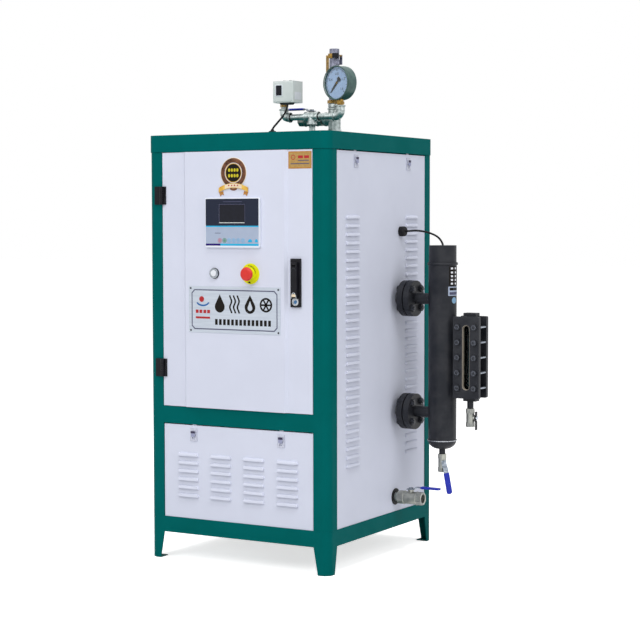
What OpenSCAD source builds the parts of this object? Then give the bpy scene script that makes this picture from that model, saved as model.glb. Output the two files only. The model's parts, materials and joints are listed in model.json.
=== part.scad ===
// Electric steam boiler in a sheet-metal cabinet, with an outside water column, a sight glass,
// a pressure gauge, a safety valve and ball valves. Millimetres. +X is the water column's side,
// -Y is the door's side and +Z is up. Shapes are written about the cabinet's centre on the floor.

/* [Cabinet] */
// Width over the corner posts
cabinet_w = 616; // [600:1:680]
// Depth over the corner posts
cabinet_d = 658; // [645:1:740]
// Height of the posts between base and cap
body_h = 1083; // [1075:1:1160]
// Height of the top cap
cap_h = 50; // [36:1:70]
// Overhang of the cap past the posts
cap_overhang = 2; // [1:0.5:5]
// Width of each corner post
post_w = 50; // [44:1:54]
// Outer corner radius of posts and base
corner_r = 25; // [12:1:28]
// Sheet thickness of the green frame
frame_sheet = 2; // [1.5:0.1:2.5]

/* [Base and feet] */
// Height of the feet
foot_h = 80; // [50:1:110]
// Width of a foot at the base
foot_top_w = 50; // [44:1:60]
// Width of a foot at the floor
foot_bottom_w = 36; // [30:1:42]
// Height of the base band
base_h = 47; // [40:1:60]
// Depth of each cross bearer
bearer_w = 40; // [34:1:46]

/* [Panels] */
// Sheet thickness of the white panels
panel_sheet = 1.5; // [1:0.1:1.8]
// Gap between panels and posts
panel_gap = 1.5; // [1:0.1:2.5]
// Set-back of the panels behind the posts' faces
panel_recess = 2; // [1.5:0.1:3]
// Depth of the folded panel edges
fold_depth = 15; // [11:0.5:17]
// Height of the opening for the lower front panel
lower_opening_h = 281; // [262:1:300]
// Height of the rail under the door
rail_h = 50; // [40:1:60]

/* [Louvres] */
// Height of one louvre hood
louvre_h = 12; // [9:0.5:14]
// How far a hood stands out
louvre_rise = 4.5; // [3:0.1:5.5]
// Width of a side louvre
side_louvre_w = 76; // [60:1:84]
// Distance of the top side louvre below the posts' top
side_louvre_drop = 196.7; // [190:0.1:230]
// Number of side louvres in a column
side_louvre_rows = 30; // [10:1:30]
// Height of the lowest side louvre above the base
side_louvre_z = 170; // [150:1:190]
// Width of a front louvre
front_louvre_w = 70; // [50:1:80]
// Distance between front louvres
front_louvre_pitch = 24.3; // [20:0.1:26]
// Number of front louvres in a column
front_louvre_rows = 6; // [2:1:7]
// Height of the lowest front louvre above the base
front_louvre_z = 64; // [40:1:76]

/* [Catches] */
// Width of a catch plate
catch_w = 24; // [22:1:28]
// Height of a catch plate
catch_h = 37; // [35:1:42]
// How far a catch plate stands out
catch_t = 2.5; // [1.5:0.1:4]
// Travel of a catch slider
catch_travel = 12; // [11:0.5:13]
// Distance of a catch below the panel's top edge
catch_drop = 30; // [28:0.5:36]
// Distance of the front catches from the middle
front_catch_x = 151; // [120:1:170]
// Distance of the side catches from the middle
side_catch_y = 165; // [140:1:180]

/* [Door] */
// Depth of the door's folded edges
door_fold = 20; // [17:0.5:24]
// How far the middle of the door stands out
door_rise = 7; // [5:0.5:9]
// Margin left of the raised middle
raised_left_margin = 85.5; // [74:0.5:90]
// Margin right of the raised middle
raised_right_margin = 89.5; // [87:0.5:96]
// Height of a hinge
hinge_h = 53; // [40:1:60]
// Distance of the lower hinge above the door's lower edge
hinge_low_z = 113; // [90:1:140]
// Distance of the upper hinge below the door's top edge
hinge_high_drop = 126; // [100:1:150]

/* [Door lock] */
// Distance of the lock from the door's closing edge
lock_edge = 52.5; // [48:0.5:58]
// Height of the lock as a share of the door
lock_share = 0.4967; // [0.4:0.0001:0.6]
// Width of the lock plate
lock_w = 33; // [30:1:36]
// Height of the lock plate
lock_h = 138; // [134:1:150]
// Length of the handle below its pivot
handle_len = 98; // [80:1:98]
// Width of the handle
handle_w = 19; // [17:0.5:22]

/* [Controls] */
// Distance of the controller left of the middle
controller_x = 3; // [0:1:20]
// Height of the controller as a share of the door
controller_share = 0.725; // [0.7:0.001:0.745]
// Width of the controller's bezel
controller_w = 186; // [170:1:200]
// Height of the controller's bezel
controller_h = 144; // [130:1:150]
// Thickness of the controller's bezel
controller_t = 8; // [5:0.5:11]
// Depth of the controller's case behind the door
controller_depth = 44; // [30:1:48]
// Height of the push buttons as a share of the door
button_share = 0.5287; // [0.515:0.0001:0.538]
// Distance of the lamp button left of the middle
lamp_button_x = 69; // [50:1:90]
// Travel of the lamp button
lamp_travel = 3; // [2:0.1:4]
// Distance of the stop button right of the middle
stop_x = 55; // [40:1:80]
// Radius of the stop button's yellow collar
stop_ring_r = 30; // [26:0.5:34]
// Radius of the stop button's head
stop_head_r = 20; // [18:0.5:22]
// Travel of the stop button
stop_travel = 5; // [3:0.1:5]

/* [Boiler vessel] */
// Inner radius of the vessel as a share of the cabinet's depth
vessel_share = 0.219; // [0.2:0.001:0.221]
// Wall of the vessel
vessel_wall = 6; // [4:0.5:8]
// Height of the vessel's lower seam above the base
vessel_low = 173; // [165:1:185]
// Height of the cap above the vessel's upper seam
vessel_top_gap = 210; // [200:1:226]
// Gap between insulation and the right side
vessel_side_gap = 58; // [54:1:68]
// Gap between insulation and the back
vessel_back_gap = 49; // [45:1:57]
// Thickness of the insulation
jacket_t = 30; // [15:1:34]

/* [Water column] */
// Distance of the column from the cabinet's side
column_reach = 147; // [142:1:165]
// Outer radius of the column
column_r = 42; // [38:0.5:45]
// Height of the column's lower seam above the floor
column_low_z = 352; // [340:1:360]
// Height of the column's top ring above the floor
column_top_z = 880; // [860:1:900]
// Height of the cover on the column
column_cover_h = 50; // [40:1:60]
// Height of the lower nozzle above the floor
nozzle_low_z = 433; // [425:1:445]
// Height of the upper nozzle above the floor
nozzle_high_z = 774; // [760:1:790]
// Outer radius of the nozzle pipes
nozzle_r = 16.5; // [14:0.5:18]
// Radius of a flange
flange_r = 54; // [52:0.5:57]
// Thickness of a flange
flange_t = 18; // [14:0.5:20]
// Radius of the bolt circle
flange_bolt_circle_r = 40; // [38:0.5:42]
// Gap between the panel and the first flange
flange_standoff = 21; // [18:0.5:23]

/* [Sight glass] */
// Distance of the sight glass from the column's axis
sight_reach = 92; // [90:1:100]
// Height of the sight glass's middle above the floor
sight_z = 604; // [590:1:620]
// Width of a clamp plate
sight_w = 84; // [80:1:86]
// Height of a clamp plate
sight_h = 242; // [230:1:256]
// Thickness of a clamp plate
sight_plate_t = 13; // [10:0.5:16]
// Depth over both clamp plates
sight_depth = 66; // [62:1:76]
// Width of the viewing slot
slot_w = 24; // [18:0.5:26]
// Height of the viewing slot
slot_h = 192; // [180:1:198]
// Distance between the stud bolts
stud_pitch = 45; // [40:0.5:46]
// Distance of the stud bolts from the middle
stud_x = 27; // [26:0.5:32]

/* [Ball valves] */
// Length of a main valve
main_valve_len = 80; // [70:1:84]
// Body radius of a main valve
main_valve_r = 19; // [17:0.5:21]
// Bore radius of a main valve
main_bore_r = 9; // [7:0.5:10]
// Length of a main valve's lever
main_lever_len = 95; // [80:1:105]
// Length of a drain valve
drain_valve_len = 54; // [50:1:60]
// Body radius of a drain valve
drain_valve_r = 12; // [11:0.5:13]
// Bore radius of a drain valve
drain_bore_r = 5; // [4:0.5:6]
// Length of the column drain's lever
drain_lever_len = 91; // [80:1:94]
// Length of the sight glass drain's lever
sight_lever_len = 36; // [28:1:44]
// Height of the blowdown valve above the floor
blowdown_z = 172; // [166:1:178]

/* [Top pipework] */
// Height of the gauge pipe above the cap
gauge_pipe_h = 60; // [55:1:66]
// Offset of the gauge pipe as a share of the vessel's radius
gauge_pipe_share = 0.8; // [0.76:0.01:0.84]
// Distance of the gauge riser right of the vessel's axis
gauge_riser_dx = 6; // [2:1:10]
// Distance from the riser to each end elbow
elbow_reach = 98; // [92:1:102]
// Outer radius of the small pipes
pipe_r = 9.5; // [8:0.5:10.5]
// Radius of the pressure gauge
gauge_r = 50; // [44:1:54]
// Height of the gauge's middle above the cap
gauge_z = 157; // [153:1:165]
// Width of the pressure controller
switch_w = 71; // [60:1:76]
// Depth of the pressure controller
switch_d = 56; // [46:1:60]
// Height of the pressure controller
switch_h = 65; // [55:1:80]
// Distance of the steam riser right of the vessel's axis
steam_dx = 38; // [34:1:44]
// Distance of the steam riser in front of the vessel's axis
steam_dy = 40; // [34:1:46]
// Height of the steam valve above the cap
steam_valve_h = 56; // [54:1:62]
// Outer radius of the steam pipes
steam_pipe_r = 13.5; // [12:0.5:15]
// Height of the safety valve's top above the cap
safety_top_h = 268; // [262:1:274]

/* [Feed water] */
// Width of the water tank
tank_w = 240; // [200:1:245]
// Gap between the water tank and the front posts
tank_gap = 1.2; // [0.8:0.1:8]
// Height of the water tank
tank_h = 235; // [200:1:260]
// Length of the pump motor
motor_len = 140; // [120:1:150]
// Height of the pump's shaft above the base
pump_z = 80; // [76:1:90]

/* [Hidden] */
$fn = 48;

green = "#00625f";
white = "#d5d9e6";
dark = "#33353b";
black = "#1b1b20";
blue = "#1c2ea8";
steel = "#b4b8bd";
brass = "#c09a45";

foot_sheet = 3;
bearer_h = 25;
rail_depth = 30;
louvre_sheet = 1.2;
catch_bolt_t = 2;
raised_slope = 8.5;
hinge_leaf_t = 4;
hinge_r = 5.5;
hinge_pin_r = 2.5;
lock_t = 6;
cam_len = 44;
lamp_bezel_r = 14.7;
dish_h = 50;
column_wall = 4;
flange_bolt_r = 6;
stud_r = 4;
gauge_depth = 34;
fitting_r = 13.5;
steam_fitting_r = 19;
safety_r = 15;
motor_r = 55;
post_leaf_w = 25.5;
door_leaf_w = 13.5;

// overrun of a cut, clearance of loose parts and radial clearance of shafts
cut = 1;
loose = 0.3;
play = 0.05;

base_top = foot_h + base_h;
post_top = base_top + body_h;
cap_top = post_top + cap_h;
cap_w = cabinet_w + 2 * cap_overhang;
cap_d = cabinet_d + 2 * cap_overhang;
cap_r = corner_r + cap_overhang;
side_x = cabinet_w / 2;
front_y = -cabinet_d / 2;
opening_w = cabinet_w - 2 * post_w;
side_opening_w = cabinet_d - 2 * post_w;
rail_z = base_top + lower_opening_h;
side_louvre_pitch = (body_h - side_louvre_z - side_louvre_drop) / (side_louvre_rows - 1);
side_louvre_y = side_opening_w / 3;
door_bottom = rail_z + rail_h + panel_gap;
door_top = post_top - panel_gap;
door_h = door_top - door_bottom;
door_w = opening_w - 2 * panel_gap;
raised_y = front_y - door_rise;
raised_left = door_w / 2 - raised_left_margin;
raised_right = door_w / 2 - raised_right_margin;
front_louvre_step = door_w / 4.5;

vessel_r = round(cabinet_d * vessel_share);
shell_r = vessel_r + vessel_wall;
vessel_len = body_h - vessel_low - vessel_top_gap;
vessel_x = side_x - vessel_side_gap - jacket_t - shell_r;
vessel_y = -front_y - vessel_back_gap - jacket_t - shell_r;
blowdown_y = vessel_y - 18;

// two pairs of bearers, under the pump and tank and under the vessel
bearer_share = 0.41;
front_bearer_y = -cabinet_d * bearer_share;
rear_bearer_dy = 80;
bearer_ys = [front_bearer_y, front_bearer_y + 2 * rear_bearer_dy,
  vessel_y - rear_bearer_dy, vessel_y + rear_bearer_dy];

// side panel height and catch places
panel_top = post_top - panel_gap;
lower_panel_top = rail_z - panel_gap;
catch_slot_w = 10;
catch_neck = 8;
catch_slot_h = catch_neck + catch_travel + 5;
catch_bolt_w = 14;
catch_pad_t = 3;
catch_bolt_gap = 0.5;
catch_reach = 7;

// hinge and lock
hinge_x = -opening_w / 2 + panel_gap / 2;
hinge_y = front_y - hinge_r - loose;
hinge_zs = [door_bottom + hinge_low_z, door_top - hinge_high_drop];
lock_x = door_w / 2 - lock_edge;
lock_mid_z = door_bottom + door_h * lock_share;
lock_inset = 15;
spindle_z = lock_mid_z + lock_h / 2 - lock_inset;
barrel_z = lock_mid_z - lock_h / 2 + lock_inset;
spindle_r = 5;
barrel_r = 8;
boss_r = 10;
boss_len = 12;
handle_r = 5;
lock_front = front_y - lock_t;
pivot_y = lock_front - 2 * play - handle_r - loose;
ear_t = (handle_w - 2 * handle_r) / 2 - loose;
cam_t = 3;
cam_w = 16;

// controls
controller_mid_z = door_bottom + door_h * controller_share;
controller_case_share = 0.9;
button_mid_z = door_bottom + door_h * button_share;
barrel_hole_r = 11;
lamp_r = 9.5;
lamp_proud = 8;
stop_collar_t = 2;
stop_neck_h = 12;
stop_shaft_r = 5;
stop_head_t = 12;
stop_head_gap = 1;
block_w = 28;
block_depth = 35;

// heater, feed and blowdown stubs on the vessel
heater_rise = 110;
heater_neck = 16;
heater_z = base_top + vessel_low + heater_rise;
heater_face_y = vessel_y - shell_r - jacket_t - heater_neck;
heater_flange_r = 75;
heater_flange_t = 12;
heater_tube_r = 55;
heater_tube_wall = 6;
heater_cap_t = 14;
heater_cover_t = 30;
heater_cover_r = 50;
feed_stub_y = vessel_y - shell_r - 12;
blowdown_stub_z = base_top + vessel_low - dish_h - 12;

// contactors and their plate
plate_share = 0.1976;
plate_y = front_y + cabinet_d * plate_share;
plate_low_gap = 20;
plate_high_gap = 60;
plate_t = 3;
plate_side_inset = 18;
contactor_w = 62;
contactor_h = 84;
contactor_d = 60;

// flanges and column
panel_face_x = side_x - panel_recess;
flange_back_x = panel_face_x + flange_standoff;
face_gap = 2;
flange_mid_x = flange_back_x + flange_t + face_gap;
flange_out_x = flange_mid_x + face_gap + flange_t;
raised_face_r = 34;
nozzle_wall = 3.5;
column_x = side_x + column_reach;
column_y = vessel_y;
column_dish_h = 26;
column_neck_h = 16;
column_neck_r = 9.5;
column_neck_z = column_low_z - column_dish_h - column_neck_h;
ring_h = 4;
ring_proud = 2;
nut_h = 7;

// sight glass
sight_x = column_x + sight_reach;
chamber_w = 40;
chamber_over = 10;
glass_t = 12;
glass_over = 4;
link_r = 11;
link_dz = stud_pitch * 3 / 2;
boss_reach = 8;
sight_neck_h = 22;
sight_drain_top = sight_z - sight_h / 2 - chamber_over - sight_neck_h;

// valves: length, radii of body, bore, ball and stem, heights of boss and lever
main_ball_r = main_bore_r * 1.5;
drain_ball_r = drain_bore_r * 1.6;
main_socket_r = steam_pipe_r + play;
drain_socket_r = drain_bore_r * 1.25;
main_stem_r = 4;
drain_stem_r = 3;
main_boss_h = main_valve_r + 6;
drain_boss_h = drain_valve_r + 3;
lever_t = 2.5;
socket_share = 0.18;
drain_lever_w = 15;
main_lever_w = 15;
blowdown_x = panel_face_x + 14 + main_valve_len / 2;
drain_mid_z = column_neck_z - drain_valve_len / 2;
drain_turn = -45;
drain_tilt = 10;
sight_drain_z = sight_drain_top - drain_valve_len / 2;

// top pipework
gauge_pipe_z = cap_top + gauge_pipe_h;
gauge_pipe_y = shell_r * gauge_pipe_share - vessel_y;
gauge_riser_x = vessel_x + gauge_riser_dx;
steam_x = vessel_x + steam_dx;
steam_y = vessel_y - steam_dy;
pipe_bore_r = 7;
left_elbow_x = gauge_riser_x - elbow_reach;
right_elbow_x = gauge_riser_x + elbow_reach;
elbow_top_left = 26;
elbow_top_right = 32;
collar_len = 24;
stub_z = base_top + vessel_low + vessel_len + dish_h + 30;
gauge_mid_z = cap_top + gauge_z;
gauge_turn = -13.5;
gauge_wall = 2.5;
dial_depth = 9;
needle_len = 36;
needle_angle = 131;
pivot_r = 1.5;
lens_t = 2;
switch_dx = 13;
switch_z = gauge_pipe_z + 44;
steam_valve_z = cap_top + steam_valve_h;
steam_tee_reach = 32;
steam_valve_x = steam_x - steam_tee_reach - 8 - main_valve_len / 2;
pipe_in = main_valve_len * (1 / 2 - socket_share) + 1;
steam_tee_up = 34;
steam_tee_down = 38;
steam_bore_r = 10;

// safety valve, upward from the tee
safety_seat_z = steam_valve_z + steam_tee_up;
safety_hex = 32;
safety_hex_h = 16;
safety_body_h = 70;
safety_chamber_r = 10.5;
safety_cap_h = 19;
safety_top_z = cap_top + safety_top_h;
safety_lift = 7;
safety_stem_r = 3.5;
safety_lever_t = 4;
safety_pivot_dx = 19;
safety_bonnet_top = safety_top_z - safety_cap_h - 14;
safety_pivot_z = safety_top_z - safety_cap_h - safety_lever_t / 2 - loose;
safety_outlet_len = 30;
safety_outlet_r = 11;
thread_len = 15;

// feed water
tank_sheet = 2;
tank_x = -side_x + fold_depth + 12;
pump_x = 20;
pump_y = front_bearer_y + rear_bearer_dy;
tank_d = 2 * (pump_y - front_y - post_w - tank_gap);
tank_y = pump_y - tank_d / 2;
pump_mid_z = base_top + pump_z;
casing_r = 45;
casing_len = 46;
shaft_r = 6;
suction_r = 10;
feed_r = 10;
feed_z = base_top + vessel_low + 18;
inlet_x = tank_x + tank_w / 3;
inlet_z = base_top + 90;
inlet_reach = 34;
inlet_r = 13;

// leads: each point's shares of the way between its two ends, chosen by hand
lead_r = 3;
lead_sides = 10;
lead_in = 6;
probe_lead_shares = [[0, 0, 0], [0.077, 0, 0], [0.155, 0, 0], [0.226, 0, -0.02], [0.303, 0.08, -0.04],
  [0.394, 0.15, -0.05], [0.484, 0.23, -0.03], [0.574, 0.31, 0.01], [0.665, 0.46, 0.07],
  [0.748, 0.62, 0.15], [0.826, 0.69, 0.25], [0.89, 0.85, 0.36], [0.942, 0.92, 0.51],
  [0.981, 1, 0.68], [1, 1, 0.83], [1, 1, 1]];
control_lead_shares = [[0, 0, 0], [0, 0, 0.1], [0.024, 0.05, 0.18], [0.095, 0.15, 0.27],
  [0.214, 0.3, 0.36], [0.381, 0.5, 0.45], [0.571, 0.7, 0.53], [0.738, 0.85, 0.61],
  [0.881, 0.95, 0.66], [0.976, 1, 0.72], [1, 1, 0.79], [1, 1, 0.9], [1, 1, 1]];
bush_r = 13;
bush_h = 16;
gland_r = 15;
gland_len = 21;
gland_z = column_top_z + 95;
gland_y = vessel_y + 13;
grommet_x = left_elbow_x - 18;
grommet_y = -gauge_pipe_y - 40;
drain_bush_r = 25;
probe_lead_ends = [[panel_face_x - lead_in, gland_y, gland_z],
  [column_x, column_y, column_top_z + ring_h + column_cover_h - lead_in]];
control_lead_ends = [[left_elbow_x + 24, -gauge_pipe_y - 20, switch_z + 8],
  [grommet_x, grommet_y, cap_top - 10]];

// the part's origin is the middle of its outline on the floor
reach_x = sight_x + sight_w / 2;
stop_front = door_rise + stop_neck_h + stop_travel + stop_head_gap + stop_head_t;
reach_back = cabinet_d / 2 + inlet_reach;
reach_front = cabinet_d / 2 + stop_front;
origin_x = (reach_x - cap_w / 2) / 2;
origin_y = (reach_back - reach_front) / 2;

// Shared shapes

module rounded_rect(w, d, r) {
  square([w - 2 * r, d], center = true);
  square([w, d - 2 * r], center = true);
  for (sx = [-1, 1], sy = [-1, 1])
    translate([sx * (w / 2 - r), sy * (d / 2 - r)]) circle(r);
}

module ring_wall(w, d, r, t, h) {
  difference() {
    linear_extrude(h) rounded_rect(w, d, r);
    translate([0, 0, -cut]) linear_extrude(h + 2 * cut) rounded_rect(w - 2 * t, d - 2 * t, r - t);
  }
}

module rod_x(len, r) { rotate([0, 90, 0]) cylinder(h = len, r = r); }

module rod_y(len, r) { rotate([-90, 0, 0]) cylinder(h = len, r = r); }

module hex(across, h) { cylinder(h = h, r = across / sqrt(3), $fn = 6); }

// a hood that opens downwards, on a face whose outside is -Y
module hood(w) {
  translate([-w / 2, 0, 0]) rotate([90, 0, 90]) linear_extrude(w)
    polygon([[panel_sheet, 0], [-louvre_rise, 0], [-louvre_rise, louvre_sheet],
      [0, louvre_h], [panel_sheet, louvre_h]]);
}

module hood_cut(w) {
  inner = w - 2 * louvre_sheet;
  translate([-inner / 2, 0, 0]) rotate([90, 0, 90]) linear_extrude(inner)
    polygon([[panel_sheet + cut, 0], [0, 0], [0, -cut], [louvre_sheet - louvre_rise, -cut],
      [louvre_sheet - louvre_rise, louvre_sheet / 2], [0, louvre_h - 2 * louvre_sheet],
      [panel_sheet + cut, louvre_h - 2 * louvre_sheet]]);
}

// a folded tray with its outside towards -Y, its face at y = 0 and its lower edge at z = 0
module tray(w, h, depth) {
  difference() {
    translate([-w / 2, 0, 0]) cube([w, depth, h]);
    translate([-w / 2 + panel_sheet, panel_sheet, panel_sheet])
      cube([w - 2 * panel_sheet, depth, h - 2 * panel_sheet]);
  }
}

module side_hoods() {
  for (sx = [-1, 1], i = [0 : side_louvre_rows - 1])
    translate([sx * side_louvre_y, 0, side_louvre_z + i * side_louvre_pitch]) children();
}

module side_tray() {
  difference() {
    union() {
      tray(side_opening_w - 2 * panel_gap, panel_top - base_top, fold_depth);
      side_hoods() hood(side_louvre_w);
    }
    side_hoods() hood_cut(side_louvre_w);
  }
}

// slot for a catch, and the notch in the top fold for its bolt
module catch_cut(top) {
  translate([-catch_slot_w / 2 - cut, -cut, top - catch_drop - catch_slot_h / 2 - cut])
    cube([catch_slot_w + 2 * cut, panel_sheet + 2 * cut, catch_slot_h + 2 * cut]);
  translate([-catch_bolt_w / 2 - cut, panel_sheet, top - panel_sheet - cut])
    cube([catch_bolt_w + 2 * cut, catch_bolt_gap + catch_bolt_t + cut, panel_sheet + 2 * cut]);
}

module catch_housing() {
  difference() {
    translate([-catch_w / 2, -catch_t, -catch_h / 2]) cube([catch_w, catch_t, catch_h]);
    translate([-catch_slot_w / 2, -catch_t - cut, -catch_slot_h / 2])
      cube([catch_slot_w, catch_t + 2 * cut, catch_slot_h]);
  }
}

module catch_slider() {
  neck_z = catch_slot_h / 2 - catch_neck - loose;
  pad_over = 3;
  back = panel_sheet + catch_bolt_gap;
  translate([-catch_slot_w / 2 - pad_over, -catch_t - loose - catch_pad_t, neck_z - pad_over])
    cube([catch_slot_w + 2 * pad_over, catch_pad_t, catch_neck + pad_over]);
  translate([-catch_slot_w / 2 + loose, -catch_t - loose - catch_pad_t, neck_z])
    cube([catch_slot_w - 2 * loose, catch_pad_t + catch_t + loose + back + catch_bolt_t, catch_neck]);
  translate([-catch_bolt_w / 2, back, -catch_h / 2])
    cube([catch_bolt_w, catch_bolt_t, catch_h / 2 + catch_drop + catch_reach]);
}

module at_front() { translate([0, front_y + panel_recess, 0]) children(); }

module at_right() { translate([panel_face_x, 0, 0]) rotate([0, 0, 90]) children(); }

// Cabinet

module foot() {
  intersection() {
    union() {
      ring_wall(cabinet_w, cabinet_d, corner_r, foot_sheet, foot_h);
      linear_extrude(foot_sheet) rounded_rect(cabinet_w, cabinet_d, corner_r);
    }
    translate([0, side_opening_w, 0]) rotate([90, 0, 0]) linear_extrude(side_opening_w)
      polygon([[side_x - foot_bottom_w, -cut], [side_x + cut, -cut],
        [side_x + cut, foot_h + cut], [side_x - foot_top_w, foot_h + cut],
        [side_x - foot_top_w, foot_h]]);
    rotate([90, 0, 90]) linear_extrude(cabinet_w)
      polygon([[-front_y - foot_bottom_w, -cut], [-front_y + cut, -cut],
        [-front_y + cut, foot_h + cut], [-front_y - foot_top_w, foot_h + cut],
        [-front_y - foot_top_w, foot_h]]);
  }
}

module base_frame() {
  color(green) {
    for (sx = [0, 1], sy = [0, 1]) mirror([sx, 0, 0]) mirror([0, sy, 0]) foot();
    translate([0, 0, foot_h]) ring_wall(cabinet_w, cabinet_d, corner_r, frame_sheet, base_h);
    translate([0, 0, base_top - frame_sheet]) difference() {
      linear_extrude(frame_sheet) rounded_rect(cabinet_w, cabinet_d, corner_r);
      translate([0, 0, -cut]) linear_extrude(frame_sheet + 2 * cut)
        square([opening_w, side_opening_w], center = true);
    }
    for (y = bearer_ys)
      translate([-side_x + frame_sheet / 2, y - bearer_w / 2, base_top - bearer_h])
        cube([cabinet_w - frame_sheet, bearer_w, bearer_h]);
  }
}

module post() {
  inner = frame_sheet;
  difference() {
    intersection() {
      linear_extrude(body_h) rounded_rect(cabinet_w, cabinet_d, corner_r);
      translate([side_x - post_w, -front_y - post_w, 0]) cube([post_w, post_w, body_h]);
    }
    intersection() {
      translate([0, 0, -cut]) linear_extrude(body_h + 2 * cut)
        rounded_rect(cabinet_w - 2 * inner, cabinet_d - 2 * inner, corner_r - inner);
      translate([side_x - post_w + inner, -front_y - post_w + inner, -cut])
        cube([post_w, post_w, body_h + 2 * cut]);
    }
  }
}

module post_frame() {
  color(green) {
    translate([0, 0, base_top])
      for (sx = [0, 1], sy = [0, 1]) mirror([sx, 0, 0]) mirror([0, sy, 0]) post();
    difference() {
      translate([-opening_w / 2, front_y, rail_z]) cube([opening_w, rail_depth, rail_h]);
      translate([-opening_w / 2 - cut, front_y + frame_sheet, rail_z - cut])
        cube([opening_w + 2 * cut, rail_depth - 2 * frame_sheet, rail_h - frame_sheet + cut]);
    }
  }
}

module top_cap() {
  color(green) difference() {
    translate([0, 0, post_top]) union() {
      difference() {
        linear_extrude(cap_h) rounded_rect(cap_w, cap_d, cap_r);
        translate([0, 0, -cut]) linear_extrude(cap_h - frame_sheet + cut)
          rounded_rect(cap_w - 2 * frame_sheet, cap_d - 2 * frame_sheet, cap_r - frame_sheet);
      }
      intersection() {
        linear_extrude(frame_sheet)
          rounded_rect(cap_w - frame_sheet, cap_d - frame_sheet, cap_r - frame_sheet / 2);
        for (sx = [-1, 1], sy = [-1, 1])
          translate([sx * side_x, sy * front_y, 0]) cube([2 * post_w, 2 * post_w, post_w], center = true);
      }
    }
    translate([gauge_riser_x, -gauge_pipe_y, post_top]) cylinder(h = cap_h + cut, r = pipe_r + loose);
    translate([steam_x, steam_y, post_top]) cylinder(h = cap_h + cut, r = steam_pipe_r + loose);
    translate([grommet_x, grommet_y, cap_top - frame_sheet - cut])
      cylinder(h = frame_sheet + 2 * cut, r = bush_r - 3);
  }
}

module left_panel() {
  color(white) translate([-panel_face_x, 0, base_top]) rotate([0, 0, -90]) side_tray();
}

module right_panel() {
  color(white) difference() {
    at_right() translate([0, 0, base_top]) side_tray();
    for (y = [-side_catch_y, side_catch_y]) at_right() translate([y, 0, 0]) catch_cut(panel_top);
    for (z = [nozzle_low_z, nozzle_high_z])
      translate([panel_face_x - 2 * panel_sheet, column_y, z]) rod_x(4 * panel_sheet, nozzle_r + 4);
    translate([panel_face_x - 2 * panel_sheet, gland_y, gland_z]) rod_x(4 * panel_sheet, gland_r - 5);
    translate([panel_face_x - 2 * panel_sheet, blowdown_y, blowdown_z])
      rod_x(4 * panel_sheet, drain_bush_r - 5);
  }
}

module back_panel() {
  color(white) difference() {
    translate([0, -front_y - panel_recess, base_top]) rotate([0, 0, 180])
      tray(door_w, panel_top - base_top, fold_depth);
    translate([inlet_x, -front_y - fold_depth, inlet_z]) rod_y(2 * fold_depth, inlet_r + loose);
  }
}

module lower_front_panel() {
  color(white) at_front() {
    difference() {
      union() {
        translate([0, 0, base_top]) tray(door_w, lower_panel_top - base_top, fold_depth);
        front_hoods() hood(front_louvre_w);
      }
      front_hoods() hood_cut(front_louvre_w);
      for (x = [-front_catch_x, front_catch_x]) translate([x, 0, 0]) catch_cut(lower_panel_top);
    }
  }
}

module front_hoods() {
  columns_share = [-1.5, -0.5, 0.5, 1.5];
  for (s = columns_share, i = [0 : front_louvre_rows - 1])
    translate([s * front_louvre_step, 0, base_top + front_louvre_z + i * front_louvre_pitch]) children();
}

module catch_housings() {
  color(steel) {
    for (x = [-front_catch_x, front_catch_x])
      at_front() translate([x, 0, lower_panel_top - catch_drop]) catch_housing();
    for (y = [-side_catch_y, side_catch_y])
      at_right() translate([y, 0, panel_top - catch_drop]) catch_housing();
  }
}

module front_catch(x) { color(steel) at_front() translate([x, 0, lower_panel_top - catch_drop]) catch_slider(); }

module side_catch(y) { color(steel) at_right() translate([y, 0, panel_top - catch_drop]) catch_slider(); }

// Door

function door_outline(t, back) = [[-door_w / 2 + t, back], [-door_w / 2 + t, t],
  [-raised_left - raised_slope, t], [-raised_left, t - door_rise], [raised_right, t - door_rise],
  [raised_right + raised_slope, t], [door_w / 2 - t, t], [door_w / 2 - t, back]];

module door_hole(x, z, r) {
  translate([x, raised_y - cut, z]) rod_y(door_rise + panel_sheet + 2 * cut, r);
}

module door() {
  color(white) difference() {
    translate([0, front_y, door_bottom]) difference() {
      linear_extrude(door_h) polygon(door_outline(0, door_fold));
      translate([0, 0, panel_sheet]) linear_extrude(door_h - 2 * panel_sheet)
        polygon(door_outline(panel_sheet, door_fold + cut));
    }
    translate([-controller_x - controller_w * controller_case_share / 2 - loose, raised_y - cut,
      controller_mid_z - controller_h * controller_case_share / 2 - loose])
      cube([controller_w * controller_case_share + 2 * loose, panel_sheet + 2 * cut,
        controller_h * controller_case_share + 2 * loose]);
    door_hole(-lamp_button_x, button_mid_z, barrel_hole_r + loose);
    door_hole(stop_x, button_mid_z, barrel_hole_r + loose);
    door_hole(lock_x, spindle_z, boss_r + loose);
    door_hole(lock_x, barrel_z, boss_r + loose);
  }
}

module knuckle(z, h) {
  translate([hinge_x, hinge_y, z - h / 2]) cylinder(h = h, r = hinge_r);
}

// leaf plate, and a web that joins it to a knuckle
module leaf(side, z, h) {
  w = side > 0 ? door_leaf_w : post_leaf_w;
  near = side > 0 ? hinge_x + hinge_r / 2 : hinge_x - w;
  translate([near, front_y - hinge_leaf_t, z - h / 2]) cube([w - hinge_r / 2, hinge_leaf_t, h]);
}

module post_hinge_leaves() {
  color(black) for (z = hinge_zs) {
    difference() {
      union() {
        leaf(-1, z, hinge_h);
        knuckle(z, hinge_h / 3);
      }
      for (s = [-1, 1]) translate([hinge_x, hinge_y, z + s * hinge_h / 3])
        cylinder(h = hinge_h / 3 + 2 * loose, r = hinge_r + loose, center = true);
    }
    translate([hinge_x, hinge_y, z - hinge_h / 2]) cylinder(h = hinge_h, r = hinge_pin_r);
  }
}

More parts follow.
